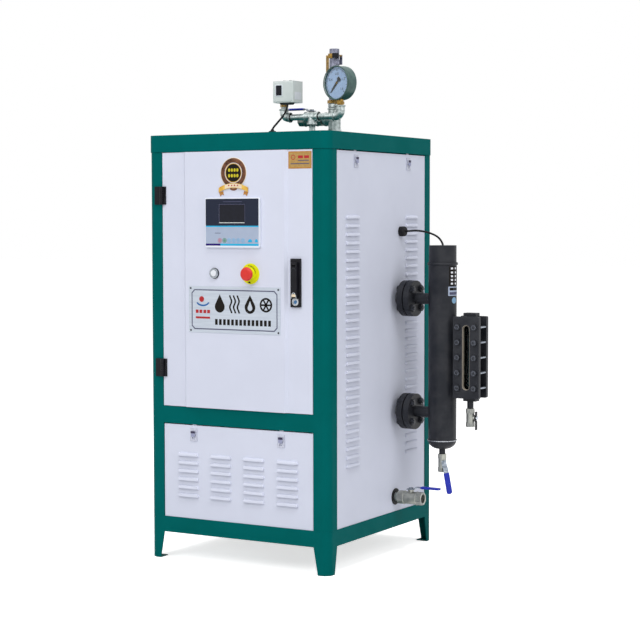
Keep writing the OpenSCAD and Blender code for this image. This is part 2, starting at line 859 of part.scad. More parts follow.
module door_hinge_leaves() {
  color(black) for (z = hinge_zs) difference() {
    union() {
      leaf(1, z, hinge_h);
      for (s = [-1, 1]) knuckle(z + s * hinge_h / 3, hinge_h / 3);
    }
    translate([hinge_x, hinge_y, z]) cylinder(h = hinge_h / 3 + 2 * loose, r = hinge_r + loose, center = true);
    translate([hinge_x, hinge_y, z - hinge_h / 2 - cut])
      cylinder(h = hinge_h + 2 * cut, r = hinge_pin_r + play);
  }
}

module lock_plate() {
  color(black) difference() {
    union() {
      translate([lock_x - lock_w / 2, lock_front, lock_mid_z - lock_h / 2]) cube([lock_w, lock_t, lock_h]);
      for (z = [spindle_z, barrel_z]) translate([lock_x, front_y, z]) rod_y(boss_len, boss_r);
    }
    translate([lock_x, lock_front - cut, spindle_z]) rod_y(lock_t + boss_len + 2 * cut, spindle_r + play);
    translate([lock_x, lock_front - cut, barrel_z]) rod_y(lock_t + boss_len + 2 * cut, barrel_r + play);
  }
}

module lock_spindle() {
  color(black) difference() {
    union() {
      translate([lock_x - handle_r, pivot_y, spindle_z]) rod_x(2 * handle_r, handle_r);
      translate([lock_x, pivot_y, spindle_z])
        rod_y(front_y + boss_len + loose + cam_t - pivot_y, spindle_r - loose);
      translate([lock_x, lock_front, spindle_z]) rod_y(lock_t + boss_len, spindle_r);
      translate([lock_x - cam_w / 2, front_y + boss_len + loose, spindle_z - cam_w / 2])
        cube([cam_w / 2 + cam_len, cam_t, cam_w]);
    }
    translate([lock_x - handle_r - cut, pivot_y, spindle_z]) rod_x(2 * handle_r + 2 * cut, handle_r / 2 + play);
  }
}

module lock_handle() {
  top_gap = handle_r + 2;
  color(black) {
    translate([lock_x - handle_w / 2, pivot_y, spindle_z]) rod_x(handle_w, handle_r / 2);
    for (x = [lock_x - handle_w / 2, lock_x + handle_w / 2 - ear_t]) {
      translate([x, pivot_y, spindle_z]) rod_x(ear_t, handle_r);
      translate([x, pivot_y - handle_r, spindle_z - top_gap - cut]) cube([ear_t, 2 * handle_r, top_gap + cut]);
    }
    translate([lock_x - handle_w / 2, pivot_y - handle_r, spindle_z - handle_len])
      cube([handle_w, 2 * handle_r, handle_len - top_gap]);
  }
}

module lock_barrel() {
  slot_t = 1.5;
  color(steel) difference() {
    translate([lock_x, lock_front, barrel_z]) rod_y(lock_t + boss_len, barrel_r);
    translate([lock_x - slot_t / 2, lock_front - cut, barrel_z - barrel_r / 2]) cube([slot_t, 3, barrel_r]);
  }
}

module controller_unit() {
  screen_share = [0.48, 0.38];
  screen_up = 26;
  bezel_r = 5;
  recess = 1.5;
  case_w = controller_w * controller_case_share;
  case_h = controller_h * controller_case_share;
  color("#e8eaee") translate([-controller_x, raised_y, controller_mid_z]) difference() {
    union() {
      rotate([90, 0, 0]) linear_extrude(controller_t) rounded_rect(controller_w, controller_h, bezel_r);
      translate([-case_w / 2, 0, -case_h / 2]) cube([case_w, controller_depth, case_h]);
    }
    translate([0, recess - controller_t, screen_up]) rotate([90, 0, 0]) linear_extrude(recess + cut)
      square([controller_w * screen_share[0], controller_h * screen_share[1]], center = true);
  }
}

module lamp_bezel() {
  bezel_t = 6;
  color(steel) translate([-lamp_button_x, raised_y, button_mid_z]) difference() {
    union() {
      translate([0, -bezel_t, 0]) rod_y(bezel_t, lamp_bezel_r);
      rod_y(block_depth / 2, barrel_hole_r);
      translate([-block_w / 2, block_depth / 3, -block_w / 2]) cube([block_w, block_depth, block_w]);
    }
    translate([0, -bezel_t - cut, 0]) rod_y(bezel_t + cut + lamp_proud + lamp_travel, lamp_r + loose);
  }
}

module lamp_button() {
  color("#f2f4f6") translate([-lamp_button_x, raised_y - lamp_proud, button_mid_z])
    rod_y(2 * lamp_proud - lamp_travel / 2, lamp_r);
}

module stop_collar() {
  color("#dfe60f") translate([stop_x, raised_y, button_mid_z]) difference() {
    union() {
      translate([0, -stop_collar_t, 0]) rod_y(stop_collar_t, stop_ring_r);
      translate([0, -stop_neck_h, 0]) rod_y(stop_neck_h, barrel_hole_r + 4);
      rod_y(block_depth / 2, barrel_hole_r);
      translate([-block_w / 2, block_depth / 3, -block_w / 2]) cube([block_w, block_depth, block_w]);
    }
    translate([0, -stop_neck_h - cut, 0])
      rod_y(stop_neck_h + cut + block_depth, stop_shaft_r + loose);
  }
}

module stop_plunger() {
  color(dark) translate([stop_x, raised_y - stop_front + door_rise + stop_head_t / 3, button_mid_z])
    rod_y(stop_front - door_rise + block_depth / 2, stop_shaft_r);
}

module stop_head() {
  rim = 4;
  flat_r = stop_head_r / 2;
  color("#d93a33") translate([stop_x, raised_y - stop_front + door_rise, button_mid_z]) difference() {
    rotate([-90, 0, 0]) rotate_extrude() polygon([[0, 0], [flat_r, 0], [stop_head_r * 0.85, rim / 2],
      [stop_head_r, rim * 1.5], [stop_head_r, stop_head_t - rim / 2],
      [stop_head_r - rim / 2, stop_head_t], [0, stop_head_t]]);
    translate([0, stop_head_t / 3 - loose, 0]) rod_y(stop_head_t, stop_shaft_r + play);
  }
}

module nameplate() {
  plate_margin = 12;
  plate_h_share = 0.1816;
  collar_gap = 8;
  plate_thick = 1;
  plate_w = raised_left + raised_right - 2 * plate_margin;
  plate_h = door_h * plate_h_share;
  plate_dx = (raised_right - raised_left) / 2;
  plate_z = button_mid_z - stop_ring_r - collar_gap - plate_h / 2;
  color("#cdd5dc") translate([plate_dx, raised_y, plate_z]) rotate([90, 0, 0])
    linear_extrude(plate_thick) square([plate_w, plate_h], center = true);
}

// Inside

module equipment_plate() {
  low = door_bottom + plate_low_gap;
  high = post_top - plate_high_gap;
  half = side_x - plate_side_inset;
  color("#c9a227") difference() {
    translate([-half, front_y + post_w, low]) cube([2 * half, plate_y - front_y - post_w, high - low]);
    translate([-half + plate_t, front_y + post_w - cut, low - cut])
      cube([2 * half - 2 * plate_t, plate_y - front_y - post_w - plate_t + cut, high - low + 2 * cut]);
  }
}

module contactors() {
  count = 3;
  step = contactor_w + 18;
  rise = 120;
  z = door_bottom + rise;
  color("#e6e6e2") for (i = [0 : count - 1])
    translate([(i - (count - 1) / 2) * step - contactor_w / 2, plate_y - plate_t - contactor_d, z]) {
      cube([contactor_w, contactor_d, contactor_h / 2]);
      translate([0, contactor_d / 3, contactor_h / 2]) cube([contactor_w, contactor_d * 2 / 3, contactor_h / 2]);
    }
}

module vessel_profile(r, h, dish) {
  rotate_extrude() {
    square([r, h]);
    for (side = [0, 1]) translate([0, side * h]) intersection() {
      scale_dish(r, dish, side);
      translate([0, -dish - cut]) square([r, 2 * dish + 2 * cut]);
    }
  }
}

// a dished end is a ball cap through the seam
module scale_dish(r, dish, side) {
  ball = (r * r + dish * dish) / (2 * dish);
  translate([0, side > 0 ? dish - ball : ball - dish]) circle(ball, $fn = 120);
}

module boiler_vessel() {
  skirt_r = shell_r / 2;
  outer = shell_r;
  color("#8d9298") difference() {
    union() {
      translate([vessel_x, vessel_y, base_top + vessel_low]) vessel_profile(outer, vessel_len, dish_h);
      translate([vessel_x, vessel_y, base_top]) difference() {
        cylinder(h = vessel_low, r = skirt_r);
        translate([0, 0, -cut]) cylinder(h = vessel_low + 2 * cut, r = skirt_r - vessel_wall);
      }
      translate([pump_x + casing_len / 2, feed_stub_y, feed_z]) rod_y(outer / 3, feed_r + 3);
      translate([vessel_x, blowdown_y, blowdown_stub_z]) cylinder(h = dish_h / 2, r = steam_pipe_r + 3);
      translate([gauge_riser_x, -gauge_pipe_y, stub_z - dish_h - 40]) cylinder(h = dish_h + 40, r = pipe_r + 3);
      translate([steam_x, steam_y, stub_z - dish_h - 40]) cylinder(h = dish_h + 40, r = steam_pipe_r + 3);
      translate([vessel_x, heater_face_y, heater_z]) rod_y(vessel_y - heater_face_y - outer / 2, heater_tube_r);
      translate([vessel_x, heater_face_y, heater_z]) rod_y(heater_flange_t, heater_flange_r);
      for (z = [nozzle_low_z, nozzle_high_z]) translate([vessel_x + outer / 2, column_y, z]) {
        rod_x(flange_mid_x - vessel_x - outer / 2, nozzle_r);
        translate([flange_back_x - vessel_x - outer / 2, 0, 0]) flange(1);
      }
    }
    translate([vessel_x, vessel_y, base_top + vessel_low])
      vessel_profile(vessel_r, vessel_len, dish_h - vessel_wall);
    translate([pump_x + casing_len / 2, feed_stub_y - cut, feed_z]) rod_y(outer / 2, feed_r - 3);
    translate([vessel_x, blowdown_y, blowdown_stub_z - cut]) cylinder(h = dish_h, r = steam_bore_r);
    translate([gauge_riser_x, -gauge_pipe_y, stub_z - dish_h - 60]) cylinder(h = dish_h + 70, r = pipe_bore_r);
    translate([steam_x, steam_y, stub_z - dish_h - 60]) cylinder(h = dish_h + 70, r = steam_bore_r);
    translate([vessel_x, heater_face_y - cut, heater_z]) rod_y(vessel_y - heater_face_y - outer / 2, heater_tube_r - heater_tube_wall);
    for (z = [nozzle_low_z, nozzle_high_z]) translate([vessel_x + outer / 2, column_y, z])
      rod_x(flange_mid_x - vessel_x, nozzle_r - nozzle_wall);
    for (z = [nozzle_low_z, nozzle_high_z]) flange_holes(z);
    translate([vessel_x, blowdown_y, blowdown_z]) rod_x(outer, steam_pipe_r + loose);
  }
}

// flange along +X from x = 0, with its raised face on the side given
module flange(side) {
  rod_x(flange_t, flange_r);
  translate([side > 0 ? 0 : -face_gap, 0, 0]) rod_x(flange_t + face_gap, raised_face_r);
}

module flange_holes(z) {
  for (a = [45 : 90 : 315])
    translate([flange_back_x - cut, column_y + flange_bolt_circle_r * cos(a), z + flange_bolt_circle_r * sin(a)])
      rod_x(flange_out_x - flange_back_x + 2 * cut, flange_bolt_r + 1);
}

module vessel_jacket() {
  outer = shell_r;
  low_bare = 40;
  top_bare = 10;
  low = base_top + vessel_low + low_bare;
  high = base_top + vessel_low + vessel_len - top_bare;
  color("#b9bcc0") difference() {
    translate([vessel_x, vessel_y, low]) cylinder(h = high - low, r = outer + jacket_t);
    translate([vessel_x, vessel_y, low - cut]) cylinder(h = high - low + 2 * cut, r = outer + loose);
    translate([vessel_x, vessel_y - outer - jacket_t - cut, heater_z]) rod_y(outer, heater_tube_r + 1);
    for (z = [nozzle_low_z, nozzle_high_z]) translate([vessel_x, column_y, z]) rod_x(2 * outer, nozzle_r + 1);
  }
}

module heater_bundle() {
  element_r = 6;
  bend_r = 16;
  reach = 230;
  face_y = heater_face_y;
  color(steel) {
    translate([vessel_x, face_y - heater_cap_t, heater_z]) rod_y(heater_cap_t, heater_flange_r);
    translate([vessel_x, face_y - heater_cap_t - heater_cover_t, heater_z])
      rod_y(heater_cover_t, heater_cover_r);
    for (i = [-1, 0, 1]) translate([vessel_x, face_y, heater_z + i * 3 * element_r]) {
      for (s = [-1, 1]) translate([s * bend_r, 0, 0]) rod_y(reach, element_r);
      translate([0, reach, 0]) rotate_extrude(angle = 180) translate([bend_r, 0]) circle(element_r);
    }
  }
}

module water_tank() {
  color("#d9dcde") translate([tank_x, tank_y, base_top]) difference() {
    cube([tank_w, tank_d, tank_h]);
    translate([tank_sheet, tank_sheet, tank_sheet])
      cube([tank_w - 2 * tank_sheet, tank_d - 2 * tank_sheet, tank_h - 2 * tank_sheet]);
    translate([tank_w / 2, tank_d / 2, pump_z]) rod_x(tank_w, suction_r - 2);
    translate([inlet_x - tank_x, tank_d / 2, inlet_z - base_top]) rod_y(tank_d, inlet_r - 3);
  }
}

module feed_pump() {
  plate = 6;
  rear = pump_x + casing_len + motor_len;
  color("#3a5a8c") difference() {
    union() {
      translate([pump_x, pump_y, pump_mid_z]) rod_x(casing_len, casing_r);
      translate([pump_x + casing_len, pump_y, pump_mid_z]) rod_x(motor_len, motor_r);
      translate([pump_x, pump_y - rear_bearer_dy, base_top]) cube([casing_len + motor_len, 2 * rear_bearer_dy, plate]);
      for (x = [pump_x + casing_len + plate, rear - 5 * plate])
        translate([x, pump_y - motor_r / 2, base_top]) cube([3 * plate, motor_r, pump_z]);
      translate([pump_x + casing_len / 2, pump_y, pump_mid_z]) cylinder(h = casing_r + 10, r = suction_r + 4);
    }
    translate([pump_x + plate, pump_y, pump_mid_z]) rod_x(casing_len - 2 * plate, casing_r - plate);
    translate([pump_x + casing_len + plate, pump_y, pump_mid_z]) rod_x(motor_len - 2 * plate, motor_r - plate);
    translate([pump_x + casing_len - 2 * plate, pump_y, pump_mid_z])
      rod_x(motor_len + plate, shaft_r + play);
    translate([pump_x - cut, pump_y, pump_mid_z]) rod_x(casing_len / 2, suction_r - 3);
    translate([pump_x + casing_len / 2, pump_y, pump_mid_z]) cylinder(h = casing_r + 11, r = suction_r - 3);
  }
}

module pump_rotor() {
  plate = 6;
  color(steel) translate([pump_x, pump_y, pump_mid_z]) {
    translate([casing_len / 2, 0, 0]) rod_x(casing_len / 2 + motor_len - 2 * plate, shaft_r);
    translate([casing_len / 2, 0, 0]) rod_x(plate, casing_r - 2 * plate);
    translate([casing_len + 4 * plate, 0, 0]) rod_x(motor_len / 2, motor_r - 2 * plate);
  }
}

module elbow_pipe(r, h, len) {
  wall = 3;
  difference() {
    union() {
      cylinder(h = h, r = r);
      sphere(r + wall / 2);
      rod_x(len, r);
    }
    cylinder(h = h + cut, r = r - wall);
    sphere(r - wall);
    rod_x(len + cut, r - wall);
  }
}

module straight_pipe(r, len) {
  wall = 3;
  difference() {
    rod_x(len, r);
    translate([-cut, 0, 0]) rod_x(len + 2 * cut, r - wall);
  }
}

module inner_pipes() {
  discharge_z = pump_mid_z + casing_r + 10;
  color("#a9adb2") {
    translate([tank_x + tank_w, pump_y, pump_mid_z]) straight_pipe(suction_r, pump_x - tank_x - tank_w);
    translate([pump_x + casing_len / 2, pump_y, feed_z]) rotate([0, 0, 90])
      mirror([0, 0, 1]) elbow_pipe(feed_r, feed_z - discharge_z, feed_stub_y - pump_y);
    difference() {
      translate([inlet_x, tank_y + tank_d, inlet_z]) rotate([0, 0, 90])
        straight_pipe(inlet_r, reach_back - tank_y - tank_d);
      translate([inlet_x, reach_back - thread_len, inlet_z]) rod_y(thread_len + cut, inlet_r - 2);
    }
    translate([vessel_x, blowdown_y, blowdown_z])
      elbow_pipe(steam_pipe_r, blowdown_stub_z - blowdown_z, blowdown_x - pipe_in - vessel_x);
  }
}

// Water column and sight glass

module flange_bolts() {
  head = 2 * flange_bolt_r * 1.6;
  color(steel) for (z = [nozzle_low_z, nozzle_high_z], a = [45 : 90 : 315])
    translate([flange_back_x, column_y + flange_bolt_circle_r * cos(a), z + flange_bolt_circle_r * sin(a)]) {
      translate([-nut_h, 0, 0]) rod_x(flange_out_x - flange_back_x + 2 * nut_h + 3, flange_bolt_r);
      translate([-nut_h, 0, 0]) rotate([0, 90, 0]) hex(head, nut_h);
      translate([flange_out_x - flange_back_x, 0, 0]) rotate([0, 90, 0]) hex(head, nut_h);
    }
}

module water_column() {
  color(dark) difference() {
    union() {
      translate([column_x, column_y, column_low_z])
        column_profile(column_r, column_top_z - column_low_z, column_dish_h);
      translate([column_x, column_y, column_top_z]) cylinder(h = ring_h, r = column_r + ring_proud);
      translate([column_x, column_y, column_low_z - ring_h / 2]) cylinder(h = ring_h, r = column_r + 1);
      translate([column_x, column_y, column_neck_z])
        cylinder(h = column_neck_h + column_dish_h, r = column_neck_r);
      for (z = [nozzle_low_z, nozzle_high_z]) {
        translate([flange_mid_x, column_y, z]) rod_x(column_x - flange_mid_x, nozzle_r);
        translate([flange_mid_x + face_gap, column_y, z]) flange(-1);
      }
      for (s = [-1, 1]) translate([column_x, column_y, sight_z + s * link_dz])
        rod_x(column_r + boss_reach, link_r);
    }
    translate([column_x, column_y, column_low_z])
      column_profile(column_r - column_wall, column_top_z - column_low_z + ring_h + cut, column_dish_h - column_wall);
    translate([column_x, column_y, column_neck_z - cut])
      cylinder(h = column_neck_h + column_dish_h, r = drain_bore_r);
    for (z = [nozzle_low_z, nozzle_high_z]) {
      translate([flange_mid_x - cut, column_y, z]) rod_x(column_x - flange_mid_x, nozzle_r - nozzle_wall);
      flange_holes(z);
    }
    for (s = [-1, 1]) translate([column_x, column_y, sight_z + s * link_dz])
      rod_x(column_r + boss_reach + cut, link_r / 2);
  }
}

module column_profile(r, h, dish) {
  ball = (r * r + dish * dish) / (2 * dish);
  rotate_extrude() {
    square([r, h]);
    intersection() {
      translate([0, ball - dish]) circle(ball, $fn = 96);
      translate([0, -dish - cut]) square([r, dish + cut]);
    }
  }
}

module column_cover() {
  z = column_top_z + ring_h;
  color(dark) translate([column_x, column_y, z]) difference() {
    cylinder(h = column_cover_h, r = column_r - 1);
    translate([0, 0, -cut]) cylinder(h = column_cover_h - panel_sheet + cut, r = column_r - 1 - panel_sheet);
    cylinder(h = column_cover_h + cut, r = lead_r + loose);
  }
}

module level_probes() {
  z = column_top_z + ring_h;
  probe_r = 2.5;
  spread_r = 16;
  drop_share = [0.25, 0.5, 0.72, 0.85];
  plug_h = 10;
  depth = column_top_z - column_low_z;
  color(steel) {
    translate([column_x, column_y, z - plug_h]) cylinder(h = plug_h, r = column_r - column_wall - loose / 2);
    translate([column_x, column_y, z]) cylinder(h = ring_h, r = column_r - 1 - panel_sheet - loose);
    for (i = [0 : 3])
      translate([column_x + spread_r * cos(90 * i), column_y + spread_r * sin(90 * i), z - depth * drop_share[i]])
        cylinder(h = depth * drop_share[i] + plug_h + 8, r = probe_r);
  }
}

module sight_chamber() {
  depth = sight_depth - 2 * sight_plate_t - glass_t;
  front = column_y - sight_depth / 2 + sight_plate_t + glass_t;
  low = sight_z - sight_h / 2 - chamber_over;
  color(dark) difference() {
    union() {
      translate([sight_x - chamber_w / 2, front, low]) cube([chamber_w, depth, sight_h + 2 * chamber_over]);
      for (s = [-1, 1]) translate([column_x + column_r + boss_reach, column_y, sight_z + s * link_dz])
        rod_x(sight_reach - column_r - boss_reach - chamber_w / 2 + cut, link_r);
      translate([sight_x, column_y, sight_drain_top]) cylinder(h = sight_neck_h + cut, r = column_neck_r);
    }
    translate([sight_x - slot_w / 2, front - cut, sight_z - slot_h / 2]) cube([slot_w, depth * 0.7 + cut, slot_h]);
    for (s = [-1, 1]) translate([column_x + column_r, column_y, sight_z + s * link_dz])
      rod_x(sight_reach - column_r, link_r / 2);
    translate([sight_x, column_y, sight_drain_top - cut]) cylinder(h = sight_h / 2, r = drain_bore_r);
  }
}

module slot_outline() {
  square([slot_w, slot_h - slot_w], center = true);
  for (s = [-1, 1]) translate([0, s * (slot_h - slot_w) / 2]) circle(slot_w / 2);
}

module at_studs() {
  for (sx = [-1, 1], i = [-2 : 2]) translate([sight_x + sx * stud_x, column_y, sight_z + i * stud_pitch]) children();
}

module clamp_plate() {
  rotate([90, 0, 0]) linear_extrude(sight_plate_t) rounded_rect(sight_w, sight_h, 4);
}

module sight_plates() {
  color(dark) difference() {
    union() {
      translate([sight_x, column_y - sight_depth / 2 + sight_plate_t, sight_z]) clamp_plate();
      translate([sight_x, column_y + sight_depth / 2, sight_z]) clamp_plate();
    }
    translate([sight_x, column_y - sight_depth / 2 + sight_plate_t + cut, sight_z]) rotate([90, 0, 0])
      linear_extrude(sight_plate_t + 2 * cut) slot_outline();
    at_studs() translate([0, -sight_depth / 2 - cut, 0]) rod_y(sight_depth + 2 * cut, stud_r + loose);
  }
}

module sight_glass() {
  w = slot_w + 2 * glass_over;
  h = slot_h + 2 * glass_over;
  color("#9fb4b8") translate([sight_x - w / 2, column_y - sight_depth / 2 + sight_plate_t, sight_z - h / 2])
    cube([w, glass_t, h]);
}

module sight_studs() {
  color(black) at_studs() {
    translate([0, -sight_depth / 2 - nut_h - 2, 0]) rod_y(sight_depth + 2 * nut_h + 2, stud_r);
    translate([0, -sight_depth / 2, 0]) rotate([90, 0, 0]) hex(4 * stud_r, nut_h);
    translate([0, sight_depth / 2 + nut_h, 0]) rotate([90, 0, 0]) hex(4 * stud_r, nut_h);
  }
}

// Ball valves: flow along X, stem along +Z, centred on the ball

module valve_body(len, r, bore, socket, ball, stem, boss) {
  end = len * 0.24;
  difference() {
    union() {
      translate([-len / 2 + end / 2, 0, 0]) rod_x(len - end, r);
      for (s = [-1, 1]) translate([s * (len / 2 - end / 2), 0, 0]) rotate([0, 90, 0]) rotate([0, 0, 22.5])
        cylinder(h = end, r = r * 1.08, center = true, $fn = 8);
      cylinder(h = boss, r = 2 * stem);
    }
    translate([-len / 2 - cut, 0, 0]) rod_x(len + 2 * cut, bore);
    for (s = [-1, 1]) translate([s * (len / 2 + cut - len * socket_share / 2), 0, 0]) rotate([0, 90, 0])
      cylinder(h = len * socket_share + 2 * cut, r = socket, center = true);
    sphere(ball + loose);
    cylinder(h = boss + cut, r = stem + play);
  }
}

module valve_ball(bore, ball, stem, top) {
  difference() {
    union() {
      sphere(ball);
      cylinder(h = top, r = stem);
    }
    translate([-ball - cut, 0, 0]) rod_x(2 * ball + 2 * cut, bore);
  }
}

// lever along +X: hub plate, cranked rise and grip
module valve_lever(boss, stem, len, w) {
  rise = len / 14;
  hub = 3 * stem;
  z0 = boss + loose;
  translate([0, w / 2, z0]) rotate([90, 0, 0]) linear_extrude(w)
    polygon([[-hub, 0], [hub, 0], [hub + rise, rise], [len, rise], [len, rise + lever_t],
      [hub + rise - lever_t / 2, rise + lever_t], [hub - lever_t / 2, lever_t], [-hub, lever_t]]);
  translate([0, 0, z0 + lever_t]) hex(3.4 * stem, stem);
}

module main_lever() {
  valve_ball(main_bore_r, main_ball_r, main_stem_r, main_boss_h + 2 * lever_t);
  valve_lever(main_boss_h, main_stem_r, main_lever_len, main_lever_w);
}

module at_blowdown() { translate([blowdown_x, blowdown_y, blowdown_z]) children(); }

module at_steam_valve() { translate([steam_valve_x, steam_y, steam_valve_z]) rotate([0, 0, 180]) children(); }

// a drain valve hangs down: its flow runs along Z and its stem points outwards
module at_column_drain() { translate([column_x, column_y, drain_mid_z]) rotate([0, 0, drain_turn]) rotate([0, 90, 0]) children(); }

module at_sight_drain() { translate([sight_x, column_y, sight_drain_z]) rotate([0, 90, 0]) children(); }

module drain_body() {
  valve_body(drain_valve_len, drain_valve_r, drain_bore_r, drain_socket_r, drain_ball_r, drain_stem_r, drain_boss_h);
}

module main_body() {
  valve_body(main_valve_len, main_valve_r, main_bore_r, main_socket_r, main_ball_r, main_stem_r, main_boss_h);
}

module main_valve_bodies() {
  color(steel) {
    at_blowdown() main_body();
    at_steam_valve() main_body();
  }
}

module drain_valve_bodies() {
  color(steel) {
    at_column_drain() drain_body();
    at_sight_drain() drain_body();
  }
}

module blowdown_lever() { color(blue) at_blowdown() main_lever(); }

module steam_lever() { color(blue) at_steam_valve() main_lever(); }

module column_drain_lever() {
  color(blue) at_column_drain() {
    valve_ball(drain_bore_r, drain_ball_r, drain_stem_r, drain_boss_h + 2 * lever_t);
    rotate([0, 0, drain_tilt]) valve_lever(drain_boss_h, drain_stem_r, drain_lever_len, drain_lever_w);
  }
}

module sight_drain_lever() {
  color(black) at_sight_drain() {
    valve_ball(drain_bore_r, drain_ball_r, drain_stem_r, drain_boss_h + 2 * lever_t);
    valve_lever(drain_boss_h, drain_stem_r, sight_lever_len, drain_lever_w - 3);
  }
}

// Top pipework

module gauge_manifold() {
  color("#bfc4c8") translate([gauge_riser_x, -gauge_pipe_y, gauge_pipe_z]) difference() {
    union() {
      translate([-elbow_reach, 0, 0]) rod_x(2 * elbow_reach, pipe_r);
      translate([-collar_len, 0, 0]) rod_x(2 * collar_len, fitting_r);
      translate([0, 0, -collar_len]) cylinder(h = collar_len, r = fitting_r);
      translate([0, 0, stub_z - gauge_pipe_z]) cylinder(h = gauge_pipe_z - stub_z, r = pipe_r);
      for (s = [-1, 1]) translate([s * elbow_reach, 0, 0]) {
        sphere(fitting_r);
        rotate([0, -90 * s, 0]) cylinder(h = collar_len, r = fitting_r);
      }
      translate([-elbow_reach, 0, 0]) cylinder(h = elbow_top_left, r = fitting_r);
      translate([elbow_reach, 0, 0]) cylinder(h = elbow_top_right, r = fitting_r);
    }
    translate([-elbow_reach, 0, 0]) rod_x(2 * elbow_reach, pipe_bore_r);
    translate([0, 0, stub_z - gauge_pipe_z - cut]) cylinder(h = gauge_pipe_z - stub_z + cut, r = pipe_bore_r);
    for (s = [-1, 1]) translate([s * elbow_reach, 0, 0])
      cylinder(h = elbow_top_right + cut, r = pipe_bore_r);
  }
}

module pressure_controller() {
  color("#cfd6d6") {
    difference() {
      translate([left_elbow_x + switch_dx - switch_w / 2, -gauge_pipe_y - switch_d / 2, switch_z])
        cube([switch_w, switch_d, switch_h]);
      translate(control_lead_ends[0] - [0, 0, lead_r * 4]) cylinder(h = lead_r * 5, r = lead_r + loose);
    }
    translate([left_elbow_x, -gauge_pipe_y, gauge_pipe_z + elbow_top_left])
      hex(fitting_r * 1.4, switch_z - gauge_pipe_z - elbow_top_left);
  }
}

module at_gauge() {
  translate([right_elbow_x, -gauge_pipe_y, gauge_mid_z]) rotate([0, 0, gauge_turn])
    translate([0, -gauge_depth / 2, 0]) children();
}

module gauge_case() {
  socket = 12;
  color("#6f8a86") {
    at_gauge() difference() {
      rod_y(gauge_depth, gauge_r);
      translate([0, -cut, 0]) rod_y(dial_depth + cut, gauge_r - gauge_wall);
      translate([0, dial_depth + gauge_wall, 0])
        rod_y(gauge_depth - dial_depth - 2 * gauge_wall, gauge_r - gauge_wall);
      rod_y(dial_depth + 2 * gauge_wall, pivot_r + play);
    }
    translate([right_elbow_x, -gauge_pipe_y, gauge_pipe_z + elbow_top_right])
      hex(fitting_r * 1.35, gauge_mid_z - gauge_r + gauge_wall - gauge_pipe_z - elbow_top_right);
    translate([right_elbow_x, -gauge_pipe_y, gauge_mid_z - gauge_r - socket / 2])
      cylinder(h = socket, r = fitting_r / 2);
  }
}

module gauge_needle() {
  hub_r = 4;
  tail = 12;
  tip_w = 1;
  needle_t = 1.2;
  gap = 1.5;
  color(black) at_gauge() {
    translate([0, dial_depth - gap, 0]) rod_y(gap + gauge_wall, pivot_r);
    translate([0, dial_depth - gap - needle_t, 0]) rod_y(needle_t, hub_r);
    translate([0, dial_depth - gap, 0]) rotate([90, needle_angle, 0]) linear_extrude(needle_t)
      polygon([[-tail, -hub_r * 0.8], [0, -hub_r / 2], [needle_len, -tip_w / 2],
        [needle_len, tip_w / 2], [0, hub_r / 2], [-tail, hub_r * 0.8]]);
  }
}

module gauge_lens() {
  color("#dfe8ec") at_gauge() translate([0, 1, 0]) rod_y(lens_t, gauge_r - gauge_wall);
}

module steam_riser() {
  color("#bfc4c8") translate([steam_x, steam_y, steam_valve_z]) difference() {
    union() {
      translate([0, 0, -steam_tee_down]) cylinder(h = steam_tee_down + steam_tee_up, r = steam_fitting_r);
      translate([-steam_tee_reach, 0, 0]) rod_x(steam_tee_reach, steam_fitting_r);
      translate([steam_valve_x + pipe_in - steam_x, 0, 0]) rod_x(steam_tee_reach + 8, steam_pipe_r);
      translate([0, 0, stub_z - steam_valve_z]) cylinder(h = steam_valve_z - stub_z, r = steam_pipe_r);
    }
    translate([0, 0, stub_z - steam_valve_z - cut])
      cylinder(h = steam_valve_z - stub_z + steam_tee_up + 2 * cut, r = steam_bore_r);
    translate([steam_valve_x - steam_x, 0, 0]) rod_x(steam_x - steam_valve_x, steam_bore_r);
  }
}

// Safety valve: the lever tips up under the cap and lifts the stem

module safety_body() {
  bonnet_z = safety_seat_z + safety_body_h;
  ear = 3;
  color("#9aa0a8") translate([steam_x, steam_y, 0]) difference() {
    union() {
      translate([0, 0, safety_seat_z]) hex(safety_hex, safety_hex_h);
      translate([0, 0, safety_seat_z]) cylinder(h = safety_body_h, r = safety_r + 2);
      translate([0, 0, bonnet_z]) cylinder(h = safety_bonnet_top - bonnet_z, r = safety_r);
      translate([0, 0, safety_seat_z + safety_body_h / 2]) rod_y(safety_outlet_len, safety_outlet_r);
      for (s = [-1, 1]) translate([ear, s * (safety_r / 2 + ear / 2 + loose) - ear / 2, safety_bonnet_top - safety_r]) {
        cube([safety_pivot_dx, ear, safety_r]);
        translate([safety_r - ear - 1, 0, 0])
          cube([safety_pivot_dx + ear + 1 - safety_r, ear, safety_pivot_z - safety_bonnet_top + safety_r + ear]);
      }
    }
    translate([0, 0, safety_seat_z - cut]) cylinder(h = safety_hex_h + 2 * cut, r = steam_bore_r - 3);
    translate([0, 0, safety_seat_z + safety_hex_h])
      cylinder(h = safety_bonnet_top - safety_seat_z - safety_hex_h - ear, r = safety_chamber_r);
    translate([0, 0, safety_bonnet_top - 2 * ear]) cylinder(h = 3 * ear, r = safety_stem_r + play);
    translate([0, safety_chamber_r / 2, safety_seat_z + safety_body_h / 2])
      rod_y(safety_outlet_len, safety_outlet_r - 4);
    translate([0, safety_outlet_len - thread_len, safety_seat_z + safety_body_h / 2])
      rod_y(thread_len + cut, safety_outlet_r - 2.5);
    translate([safety_pivot_dx, -safety_r, safety_pivot_z]) rod_y(2 * safety_r, 2 + play);
  }
}

module safety_stem() {
  disc_z = safety_seat_z + safety_hex_h;
  color("#9aa0a8") translate([steam_x, steam_y, 0]) {
    translate([0, 0, disc_z]) cylinder(h = 5, r = safety_chamber_r - loose);
    translate([0, 0, disc_z]) cylinder(h = safety_top_z - disc_z, r = safety_stem_r);
    translate([0, 0, safety_top_z - safety_cap_h]) cylinder(h = safety_cap_h, r = safety_r);
  }
}

